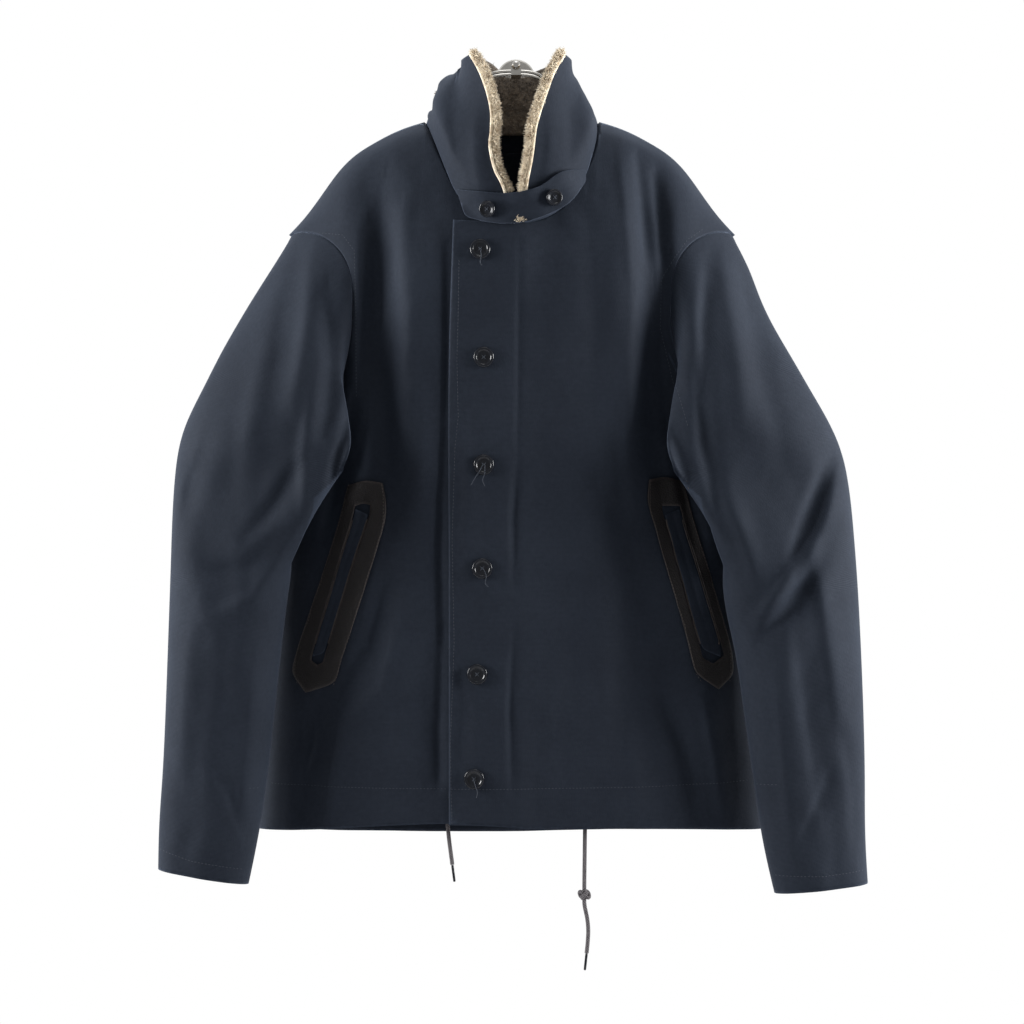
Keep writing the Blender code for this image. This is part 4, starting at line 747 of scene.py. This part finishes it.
def strand(name, line, thick, material):
    """A round thread or cord through the points of a line."""
    data = bpy.data.curves.new(name, "CURVE")
    data.dimensions = "3D"
    data.bevel_depth = thick / 2
    data.bevel_resolution = 3
    data.use_fill_caps = True
    spline = data.splines.new("POLY")
    spline.points.add(len(line) - 1)
    for point, place in zip(spline.points, line):
        point.co = (*place, 1.0)
    spline.use_smooth = True
    data.materials.append(material)
    piece = bpy.data.objects.new(name, data)
    bpy.context.scene.collection.objects.link(piece)
    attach(piece, "root")
    return piece


def curve(points, steps):
    """A smooth line through the points, by the rule of Catmull and Rom."""
    points = [Vector(p) for p in points]
    padded = [points[0] * 2 - points[1], *points, points[-1] * 2 - points[-2]]
    line = []
    for a, b, c, d in zip(padded, padded[1:], padded[2:], padded[3:]):
        for k in range(steps):
            t = k / steps
            bend = 2 * a - 5 * b + 4 * c - d
            swing = 3 * b - a - 3 * c + d
            line.append(0.5 * (2 * b + (c - a) * t + bend * t**2 + swing * t**3))
    return line + [points[-1]]


def pointing(way):
    """The turn that points a form's own z along a direction."""
    return way.to_track_quat("Z", "Y").to_matrix().to_4x4()


def middle_of(points):
    return sum(points, Vector()) / len(points)


TURN_MERGE = 0.00001


def turned_piece(name, node, section, steps, where):
    """A glossy piece turned from pairs of radius and height, in the place of a node."""
    form = bmesh.new()
    verts = [form.verts.new((far, 0.0, height)) for far, height in section]
    edges = [form.edges.new(pair) for pair in zip(verts, verts[1:])]
    bmesh.ops.spin(
        form, geom=verts + edges, cent=(0, 0, 0), axis=(0, 0, 1), angle=FULL_TURN, steps=steps,
        use_merge=True,
    )
    bmesh.ops.remove_doubles(form, verts=form.verts, dist=TURN_MERGE)
    bmesh.ops.recalc_face_normals(form, faces=form.faces)
    bmesh.ops.transform(form, matrix=where, verts=form.verts)
    data = bpy.data.meshes.new(name)
    form.to_mesh(data)
    form.free()
    piece = link(name, data, gloss)
    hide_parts(node)
    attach(piece, "root")
    return piece


print("a thread takes", len(curve([(0, 0, 0), (0, 0, 1), (0, 1, 1)], 6)), "points from three")

# %% [markdown]
# ## Stitching
# A row of stitches is a row of small capsules, each a little sunk in the cloth. One capsule has
# only a few faces, because there are many hundreds of them. The rows run beside the front edge,
# round the pockets, along the hem and by the armholes.

# %% Rows of stitches
STITCH_PITCH = 0.0034
STITCH_LENGTH = 0.0025
STITCH_THICK = 0.0007
STITCH_SINK = 0.00012
SAME_PLACE = 1e-5


def capsule(length, thick):
    form = bmesh.new()
    bmesh.ops.create_uvsphere(form, u_segments=5, v_segments=4, radius=1.0)
    bmesh.ops.scale(form, vec=(thick / 2, thick / 2, length / 2), verts=form.verts)
    return form


def row_places(line):
    """Places for stitches along a line of x and z, laid on the cloth."""
    places = []
    line = [Vector((x, 0.0, z)) for x, z in line]
    spare = 0.0
    for start, end in zip(line, line[1:]):
        length = (end - start).length
        at = spare
        while at < length:
            flat = start.lerp(end, at / length)
            ahead = start.lerp(end, min(1.0, (at + STITCH_PITCH * 0.5) / length))
            place, facing = on_cloth(flat.x, flat.z)
            forward, _ = on_cloth(ahead.x, ahead.z)
            at += STITCH_PITCH
            if place is None or forward is None:
                continue
            if not SAME_PLACE <= (forward - place).length <= STITCH_PITCH:
                continue
            way = (forward - place).normalized()
            side = facing.cross(way).normalized()
            up = way.cross(side)
            turned = Matrix((side, up, way)).transposed().to_4x4()
            places.append(Matrix.Translation(place - facing * STITCH_SINK) @ turned)
        spare = at - length
    return places


def shifted(line, off):
    """The line moved sideways by off, to its left as it goes."""
    moved = []
    for k, (x, z) in enumerate(line):
        x0, z0 = line[max(k - 1, 0)]
        x1, z1 = line[min(k + 1, len(line) - 1)]
        length = math.hypot(x1 - x0, z1 - z0)
        moved.append((x - (z1 - z0) / length * off, z + (x1 - x0) / length * off))
    return moved


FRONT_EDGE = (
    (-0.0620, -0.200), (-0.0628, -0.252), (-0.0640, -0.298), (-0.0628, -0.353), (-0.0660, -0.384),
    (-0.0688, -0.474), (-0.0668, -0.574), (-0.0706, -0.674), (-0.0690, -0.755),
)
RIGHT_ARMHOLE = (
    (-0.196, -0.174), (-0.174, -0.177), (-0.165, -0.189), (-0.163, -0.250), (-0.163, -0.334),
)
LEFT_ARMHOLE = (
    (0.188, -0.170), (0.174, -0.180), (0.161, -0.198), (0.149, -0.217), (0.148, -0.264),
    (0.160, -0.315), (0.172, -0.360),
)
HEM = ((-0.2600, -0.7160), (-0.1400, -0.7175), (0.0, -0.7175), (0.1400, -0.7160), (0.2560, -0.7120))
RIGHT_CUFF = ((-0.352, -0.776), (-0.318, -0.787), (-0.268, -0.796))
LEFT_CUFF = ((0.255, -0.802), (0.300, -0.802), (0.342, -0.797))
FRONT_SET_IN = 0.0062
ARMHOLE_SET_IN = 0.0055

rows = row_places(shifted(FRONT_EDGE, FRONT_SET_IN))
rows += row_places(HEM)
rows += row_places(shifted(RIGHT_ARMHOLE, ARMHOLE_SET_IN))
rows += row_places(shifted(LEFT_ARMHOLE, -ARMHOLE_SET_IN))
rows += row_places(RIGHT_CUFF) + row_places(LEFT_CUFF)
joined("cloth_stitches", capsule(STITCH_LENGTH, STITCH_THICK), rows, thread)
print(len(rows), "stitches in the cloth")

# %% [markdown]
# ## Stitches round the pockets
# The leather frames are sewn on with two rows, one by each edge. The outline of a frame is read
# from its shell as the camera sees it, and is then drawn in by a few millimetres. A thin cord
# runs along both sides of each welt in the same way.

# %% Frame outlines and their stitches
OUTLINE_STEPS = 22
OUTLINE_TOP, OUTLINE_FOOT = 0.004, 0.006
FRAME_SET_IN = 0.0028
CORD_SET_IN = 0.0010
WELT_CORD = 0.0016


def outline(piece):
    """The piece's leftmost and rightmost edges at even heights, as x and z."""
    x, _, z = points_of(piece).T
    heights = np.linspace(z.max() - OUTLINE_TOP, z.min() + OUTLINE_FOOT, OUTLINE_STEPS)
    left, right = [], []
    for height in heights:
        near = np.abs(z - height) < (z.max() - z.min()) / OUTLINE_STEPS
        left.append((x[near].min(), height))
        right.append((x[near].max(), height))
    return left, right


frame_rows = []
for piece in (frame_right, frame_left):
    left, right = outline(piece)
    frame_rows += row_places(shifted(left, FRAME_SET_IN))
    frame_rows += row_places(shifted(right, -FRAME_SET_IN))
for piece in (welt_right, welt_left):
    for line, off in zip(outline(piece), (CORD_SET_IN, -CORD_SET_IN)):
        inner = shifted(line, off)[1:-1]
        laid = [on_cloth(x, z)[0] + Vector((0.0, -0.0005, 0.0)) for x, z in inner]
        word = "_outer_cord" if off > 0 else "_inner_cord"
        strand(piece.name + word, curve(laid, 3), WELT_CORD, leather_thread)
leather_form = capsule(STITCH_LENGTH, STITCH_THICK)
joined("leather_stitches", leather_form, frame_rows, leather_thread)
print(len(frame_rows), "stitches in the leather")

# %% [markdown]
# ## Buttons
# A button is a round section turned about its axis: a raised rim, a hollow inside it and a plain
# back. It lies on the cloth that rays find under its solid, and faces as that cloth does.

# %% Buttons
BUTTON_SECTION = (
    (0.00, 0.0022), (0.42, 0.0020), (0.60, 0.0021), (0.68, 0.0027), (0.76, 0.0034), (0.86, 0.0036),
    (0.94, 0.0032), (1.00, 0.0022), (0.97, 0.0010), (0.88, 0.0002), (0.00, 0.0000),
)
AROUND = ((0.007, 0.0), (-0.007, 0.0), (0.0, 0.007), (0.0, -0.007))
BUTTON_STEPS = 40
FRONT_RADIUS = 0.0102
TAB_RADIUS = 0.0083


def button_frame(node):
    """Where the button sits: on the cloth under its solid, facing as the cloth does."""
    low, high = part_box(node)
    middle = (Vector(low) + Vector(high)) / 2
    around = [on_cloth(middle.x + dx, middle.z + dz) for dx, dz in AROUND]
    facing = sum((hit[1] for hit in around), Vector()).normalized()
    depth = min(hit[0].y for hit in around)
    place = Vector((middle.x, depth, middle.z))
    return place, facing


def button(name, node, radius):
    place, facing = button_frame(node)
    where = Matrix.Translation(place) @ pointing(facing)
    section = [(share * radius, height) for share, height in BUTTON_SECTION]
    turned_piece(name, node, section, BUTTON_STEPS, where)
    return where


places = []
for k in range(1, 7):
    places.append(button(f"front_button_cap_{k}", f"front_button_{k}", FRONT_RADIUS))
for k in (1, 2):
    places.append(button(f"tab_button_cap_{k}", f"tab_button_{k}", TAB_RADIUS))
print("buttons:", len(places))

# %% [markdown]
# ## Threads in the buttons
# Two crossed stitches hold each button through its four holes. A few loose ends hang from them,
# as on a jacket that has been worn.

# %% Threads through the buttons
SEWN_LENGTH, SEWN_THICK, SEWN_HEIGHT = 0.0060, 0.0011, 0.0024
LOOSE_THICK = 0.0007
# the button's number, and the points of one loose end as seen from the button's middle
LOOSE_ENDS = (
    (3, (
        (-0.0010, -0.0030, 0.0), (-0.0040, -0.0062, -0.006),
        (-0.0085, -0.0064, -0.013), (-0.0125, -0.0060, -0.020),
    )),
    (3, (
        (0.0010, -0.0030, 0.0), (0.0010, -0.0062, -0.008),
        (-0.0010, -0.0060, -0.015), (0.0010, -0.0060, -0.021),
    )),
    (4, (
        (0.0010, -0.0030, 0.0), (0.0040, -0.0060, -0.007),
        (0.0030, -0.0062, -0.014), (0.0060, -0.0060, -0.018),
    )),
    (1, (
        (0.0000, -0.0030, 0.0), (0.0010, -0.0060, -0.006),
        (0.0000, -0.0060, -0.013), (0.0015, -0.0060, -0.016),
    )),
    (6, (
        (-0.0010, -0.0030, 0.0), (0.0010, -0.0060, -0.006),
        (0.0030, -0.0060, -0.013), (0.0020, -0.0060, -0.018),
    )),
)
level = Matrix.Rotation(math.radians(90.0), 4, "X")
sewn = []
for where in places:
    for turn in (45.0, 135.0):
        lying = Matrix.Rotation(math.radians(turn), 4, "Z") @ level
        sewn.append(where @ Matrix.Translation((0.0, 0.0, SEWN_HEIGHT)) @ lying)
joined("button_threads", capsule(SEWN_LENGTH, SEWN_THICK), sewn, thread)
for k, (number, line) in enumerate(LOOSE_ENDS):
    middle = places[number - 1].translation
    hanging = curve([middle + Vector(p) for p in line], 6)
    strand(f"loose_thread_{k + 1}", hanging, LOOSE_THICK, thread)
print("threads:", len(sewn), "through the holes and", len(LOOSE_ENDS), "loose ends")

# %% [markdown]
# ## Pile
# Pile stands out of its hide in soft curling locks. One lock is a thin three sided cone, drawn out
# in steps and bent. Thousands of copies stand on the roll, each turned and sized a little
# differently, with a fixed seed, so that every run gives the same fleece.

# %% Locks of pile
LOCK_STEPS = 3
LOCK_BEND = 0.14
LOCK_DROOP = 0.25
LOCK_ROOT = 0.15
LOCK_LENGTHS = (0.6, 1.25)


def lock():
    """A lock one unit long: a tapered three sided strand that curls over."""
    form = bmesh.new()
    bmesh.ops.create_circle(form, segments=3, radius=0.18)
    rim = list(form.edges)
    for step in range(1, LOCK_STEPS + 1):
        drawn = bmesh.ops.extrude_edge_only(form, edges=rim)["geom"]
        verts = [g for g in drawn if isinstance(g, bmesh.types.BMVert)]
        rim = [g for g in drawn if isinstance(g, bmesh.types.BMEdge)]
        bmesh.ops.translate(form, vec=(LOCK_BEND * step, 0.0, 1.0 / LOCK_STEPS), verts=verts)
        middle = middle_of([v.co for v in verts])
        shrink = 0.86 - 0.14 * step
        bmesh.ops.scale(form, vec=(shrink,) * 3, space=Matrix.Translation(-middle), verts=verts)
    bmesh.ops.contextual_create(form, geom=rim)
    return form


def grow(name, piece, count, length, spread, material, seed, keep):
    """Stand locks on the faces that keep lets through, spread by their size."""
    chance = random.Random(seed)
    data = piece.data
    data.calc_loop_triangles()
    places = [v.co for v in data.vertices]
    thirds = [t for t in data.loop_triangles if keep(t.center, t.normal)]
    weights = [t.area for t in thirds]
    spots = []
    for third in chance.choices(thirds, weights, k=count):
        one, two = sorted((chance.random(), chance.random()))
        a, b, c = (places[i] for i in third.vertices)
        place = a * one + b * (two - one) + c * (1.0 - two)
        lean = Vector([chance.uniform(-spread, spread) for _ in range(3)])
        lean += Vector((0.0, 0.0, -LOCK_DROOP))
        way = (third.normal + lean).normalized()
        long = length * chance.uniform(*LOCK_LENGTHS)
        spun = Matrix.Rotation(chance.uniform(0.0, FULL_TURN), 4, "Z")
        root = Matrix.Translation(place - way * long * LOCK_ROOT)
        spots.append(root @ pointing(way) @ spun @ Matrix.Scale(long, 4))
    joined(name, lock(), spots, material)
    print(name, len(spots))


print("one lock has", len(lock().faces), "faces")

# %% [markdown]
# ## Where pile shows
# The navy cloth of the collar hides most of its facing. A lock that grew through the cloth would
# be wrong, so locks grow only on faces that a ray from the front can reach, and a narrow line by
# the edge stays bare for the turned hide.

# %% The roll, the lining and their locks
# x, depth behind the front of the hanger and z, from the collar's foot to its top
RIGHT_EDGE = (
    (-0.0080, -0.068, -0.1500), (-0.0085, -0.069, -0.1330), (-0.0200, -0.068, -0.1130),
    (-0.0255, -0.066, -0.0890), (-0.0240, -0.064, -0.0710), (-0.0230, -0.061, -0.0560),
    (-0.0295, -0.056, -0.0280), (-0.0365, -0.048, -0.0090), (-0.0455, -0.038, 0.0065),
)
LEFT_EDGE = (
    (0.0080, -0.071, -0.1500), (0.0085, -0.072, -0.1330), (0.0150, -0.070, -0.1030),
    (0.0175, -0.067, -0.0860), (0.0185, -0.065, -0.0700), (0.0225, -0.062, -0.0560),
    (0.0285, -0.056, -0.0380), (0.0360, -0.048, -0.0160), (0.0480, -0.038, 0.0065),
)
right_line = curve([(x, y - JACKET_OUT, z) for x, y, z in RIGHT_EDGE], 6)
left_line = curve([(x, y - JACKET_OUT, z) for x, y, z in LEFT_EDGE], 6)
SQUEEZE = 0.50
EDGE_BARE = 0.0022
EDGE_FRONT = -0.12
TURNED_AWAY = 0.5
LINING_TURNED_AWAY = 0.2
ROLL_LOCKS, ROLL_LENGTH, ROLL_SPREAD = 3600, 0.0036, 0.70
LINING_LOCKS, LINING_LENGTH, LINING_SPREAD = 3000, 0.0024, 0.60


def edge_x(line, z):
    """Where the collar's edge is at a height."""
    rising = sorted((p.z, p.x) for p in line)
    return np.interp(z, [a for a, _ in rising], [b for _, b in rising])


def squeeze(piece, line):
    """Draw the roll's free side back towards the collar's edge, as a narrow strip of pile."""
    points = points_of(piece)
    edge = edge_x(line, points[:, 2])
    inside = np.abs(points[:, 0] - MIDDLE) < np.abs(edge - MIDDLE)
    points[:, 0] = np.where(inside, edge + (points[:, 0] - edge) * SQUEEZE, points[:, 0])
    put_points(piece, points)


squeeze(pile_right, right_line)
squeeze(pile_left, left_line)
navy_front = face_tree((collar, tab, front_left, front_right))


def in_sight(center, normal):
    """True where the collar's own cloth doesn't cover the pile."""
    for step in (-EDGE_BARE, EDGE_BARE):
        hit, _ = on_cloth(center.x + step, center.z, navy_front)
        if hit is not None and hit.y < center.y:
            return False
    line = right_line if center.x < 0.0 else left_line
    bare = center.y < EDGE_FRONT and abs(center.x - edge_x(line, center.z)) < EDGE_BARE
    return normal.y < TURNED_AWAY and not bare


def seen_lining(_, normal):
    return normal.y < LINING_TURNED_AWAY


roll = (ROLL_LOCKS, ROLL_LENGTH, ROLL_SPREAD, cream)
grow("right_pile_locks", pile_right, *roll, 11, in_sight)
grow("left_pile_locks", pile_left, *roll, 12, in_sight)
# These locks carry the lining's painted shade, a dark brown.
inside = (LINING_LOCKS, LINING_LENGTH, LINING_SPREAD, brown)
grow("lining_pile_locks", lining, *inside, 13, seen_lining)

# %% [markdown]
# ## The collar's pale edge
# The pile is turned at the collar's edge, where its bare side shows as a smooth cream line. It is
# a thin round strand that follows the edge of the navy cloth. Below the chin tab, one small tuft
# looks out between the two fronts.

# %% Edge strands and the tuft
EDGE_THICK = 0.0030
collar_tree = face_tree((collar,))


def edge_strand(name, line):
    """A strand that follows the collar's edge, on the nearest point of its cloth."""
    places = []
    for place in line:
        near, _, _, _ = collar_tree.find_nearest(place)
        places.append(near + Vector((0.0, -0.0008, 0.0)))
    return strand(name, places, EDGE_THICK, cream)


edge_strand("right_collar_edge", right_line)
edge_strand("left_collar_edge", left_line)
TUFT = (0.0030, -0.1600)
TUFT_LOCKS, TUFT_LENGTH, TUFT_SPREAD = 60, 0.0024, 0.8
chance = random.Random(5)
tuft_places = []
for _ in range(TUFT_LOCKS):
    x = TUFT[0] + chance.gauss(0.0, 0.0022)
    place, facing = on_cloth(x, TUFT[1] + chance.gauss(0.0, 0.0010))
    lean = Vector([chance.uniform(-TUFT_SPREAD, TUFT_SPREAD) for _ in range(3)])
    way = (facing + lean).normalized()
    tuft_places.append(Matrix.Translation(place) @ pointing(way) @ Matrix.Scale(TUFT_LENGTH, 4))
joined("under_tab_tuft", lock(), tuft_places, cream)
print("collar edges and a tuft of", len(tuft_places), "locks")

# %% [markdown]
# ## The cords at the hem
# A cord comes out of an eyelet on each side of the hem and hangs straight down under its own
# weight. The long one has a knot half way. Each is one open curve along the route that its solid
# follows, and each ends in a tight wrapped tip.

# %% The two cords
CORD = 0.004


def eyelet_depth(node):
    low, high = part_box(node)
    return (low[1] + high[1]) / 2


# x, way forward of the eyelet's middle and z, from the eyelet down to the tip
SHORT_ROUTE = (
    (-0.0680, 0.0, -0.7340), (-0.0680, 0.0024, -0.7340), (-0.0680, 0.0052, -0.7352),
    (-0.0679, 0.0076, -0.7390), (-0.0676, 0.0080, -0.7470), (-0.0668, 0.0075, -0.7600),
    (-0.0655, 0.0068, -0.7720), (-0.0640, 0.0060, -0.7830), (-0.0627, 0.0055, -0.7930),
)
LONG_ROUTE = (
    (0.0682, 0.0, -0.7300), (0.0682, 0.0024, -0.7300), (0.0682, 0.0052, -0.7312),
    (0.0681, 0.0076, -0.7350), (0.0680, 0.0080, -0.7440), (0.0678, 0.0075, -0.7620),
    (0.0675, 0.0065, -0.7850), (0.0672, 0.0060, -0.8100), (0.0672, 0.0058, -0.8225),
    (0.0674, 0.0056, -0.8330), (0.0700, 0.0054, -0.8460), (0.0710, 0.0053, -0.8580),
    (0.0704, 0.0052, -0.8700), (0.0694, 0.0052, -0.8800),
)


def hang_cord(name, node, eyelet, route):
    """One cord from its eyelet along its route, as thick as CORD; its real length is printed."""
    depth = eyelet_depth(eyelet)
    line = curve([(x, depth + back, z) for x, back, z in route], 10)
    piece = strand(name, line, CORD, cord_look)
    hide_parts(node)
    length = sum((b - a).length for a, b in zip(line, line[1:]))
    print(name, "is", round(length * 1000), "mm long")


# %% [markdown]
# ## The knot and the tips
# The knot is the cord itself, led over and under in a small loop of three lobes. A tip is a
# narrow sleeve on the cord's end, turned from its section and laid along its solid's axis.

# %% A knot and two wrapped tips
KNOT_Z = -0.8225
KNOT_RADIUS = 0.00175
KNOT_HEIGHT = 0.0030
KNOT_CORD = CORD * 0.94
TIP_RADIUS = 0.0013
TIP_REACH = 0.0035
TIP_STEPS = 20
# share of the radius and of the length, from the cord to the free end
TIP_SECTION = (
    (0.00, 0.00), (0.80, 0.00), (1.00, 0.05), (1.00, 0.30), (0.90, 0.34), (1.00, 0.38),
    (0.96, 0.94), (0.70, 1.00), (0.00, 1.00),
)


def knot_piece(middle):
    turns = [k * FULL_TURN / 48 for k in range(49)]
    line = []
    for t in turns:
        x = KNOT_RADIUS * (math.sin(t) + 2 * math.sin(2 * t))
        y = KNOT_RADIUS * (math.cos(t) - 2 * math.cos(2 * t))
        line.append(middle + Vector((x, y, -KNOT_HEIGHT * math.sin(3 * t))))
    piece = strand("cord_knot", line, KNOT_CORD, cord_look)
    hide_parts("drawstring_knot")
    return piece


def wrapped_tip(name, node):
    """A tip turned from its section, laid along the axis of its solid."""
    points = [v.co for v in nodes[node].data.vertices]
    top = max(points, key=lambda p: p.z)
    low = min(points, key=lambda p: p.z)
    upper = middle_of([p for p in points if (p - top).length < TIP_REACH])
    lower = middle_of([p for p in points if (p - low).length < TIP_REACH])
    way = lower - upper
    section = [(share * TIP_RADIUS, at * way.length) for share, at in TIP_SECTION]
    where = Matrix.Translation(upper) @ pointing(way)
    return turned_piece(name, node, section, TIP_STEPS, where)


knot = knot_piece(Vector((0.0672, eyelet_depth("hem_eyelet_left") + 0.0058, KNOT_Z)))
tip_right = wrapped_tip("right_cord_tip", "aglet_right")
tip_left = wrapped_tip("left_cord_tip", "aglet_left")
hang_cord("right_hem_cord", "drawstring_right", "hem_eyelet_right", SHORT_ROUTE)
hang_cord("left_hem_cord", "drawstring_left", "hem_eyelet_left", LONG_ROUTE)

# %% [markdown]
# ## The hanger, the peg and the eyelets
# These are hard and have their right shape already. The wires get a smooth copy, since steel
# shows every flat. The others keep their own solids and get the steel in their material slots.

# %% Steel parts
shell("hanger_steel", "hanger_wire", 1, 0.5, steel)
for name in ("hanger_block", "wall_peg", "wall_plate", "hem_eyelet_left", "hem_eyelet_right"):
    for slot in nodes[name].material_slots:
        slot.material = steel
print("steel parts: hanger, block, peg, plate and two eyelets")

# %% [markdown]

# %% [markdown]
# ## Floor and light
# The floor is plain and pale and lies well below the hem. The sky is a soft white that is dimmer
# on the camera's side, which leaves the front of the cloth deep and lets its edges catch light.
# Three wide lamps, behind on both sides and above, draw the folds.

# %% The stage
FLOOR_Z = -1.22
FLOOR_RADIUS = 1.25
form = bmesh.new()
bmesh.ops.create_circle(form, cap_ends=True, segments=96, radius=FLOOR_RADIUS)
bmesh.ops.translate(form, vec=(0.0, 0.0, FLOOR_Z), verts=form.verts)
floor_data = bpy.data.meshes.new("floor")
form.to_mesh(floor_data)
form.free()
floor_look = Finish("pale_floor")
grain = floor_look.noise(floor_look.object_place(), 6.0)
floor_color = floor_look.mix(grain, (0.40, 0.40, 0.41), (0.44, 0.44, 0.45))
floor_look.set(Base_Color=floor_color, Roughness=0.9)
floor = link("floor", floor_data, floor_look.material)

SKY_BEHIND, SKY_AHEAD = 1.0, 0.34
world = bpy.data.worlds.new("soft_sky")
bpy.context.scene.world = world
world.use_nodes = True
tree = world.node_tree
sky = tree.nodes["Background"]
place = tree.nodes.new("ShaderNodeTexCoord")
split = tree.nodes.new("ShaderNodeSeparateXYZ")
fade = tree.nodes.new("ShaderNodeMapRange")
tree.links.new(place.outputs["Generated"], split.inputs[0])
tree.links.new(split.outputs["Y"], fade.inputs[0])
fade.interpolation_type = "SMOOTHSTEP"
for socket, value in ((1, -0.6), (2, 0.6), (3, SKY_AHEAD), (4, SKY_BEHIND)):
    fade.inputs[socket].default_value = value
tree.links.new(fade.outputs[0], sky.inputs["Strength"])
sky.inputs["Color"].default_value = (1.0, 1.0, 1.0, 1.0)

LAMPS = (
    # name, place, size, watts, aim
    ("left_lamp", (-1.8, -0.40, -0.1), 0.9, 66.0, (-0.1, -0.1, -0.50)),
    ("right_lamp", (1.8, -0.40, -0.1), 0.9, 76.0, (0.1, -0.1, -0.50)),
    ("top_lamp", (0.1, -0.5, 1.8), 1.0, 8.0, (0.0, -0.1, -0.3)),
)
for name, place, size, watts, aim in LAMPS:
    lamp = bpy.data.lights.new(name, "AREA")
    lamp.shape = "SQUARE"
    lamp.size = size
    lamp.energy = watts
    holder = bpy.data.objects.new(name, lamp)
    bpy.context.scene.collection.objects.link(holder)
    holder.location = place
    holder.rotation_euler = (Vector(aim) - Vector(place)).to_track_quat("-Z", "Y").to_euler()
bpy.context.scene.view_settings.view_transform = "Standard"
print("lamps:", len(LAMPS))

# %% [markdown]
# ## Counting the result
# The triangles of every mesh that renders are counted. Folds and pile stand out only a little
# from the solids.

# %% Triangles, and the end
seen = [o for o in bpy.data.objects if o.type == "MESH" and not o.hide_render]
total = sum(len(p.vertices) - 2 for o in seen for p in o.data.polygons)
print("triangles in all:", total)
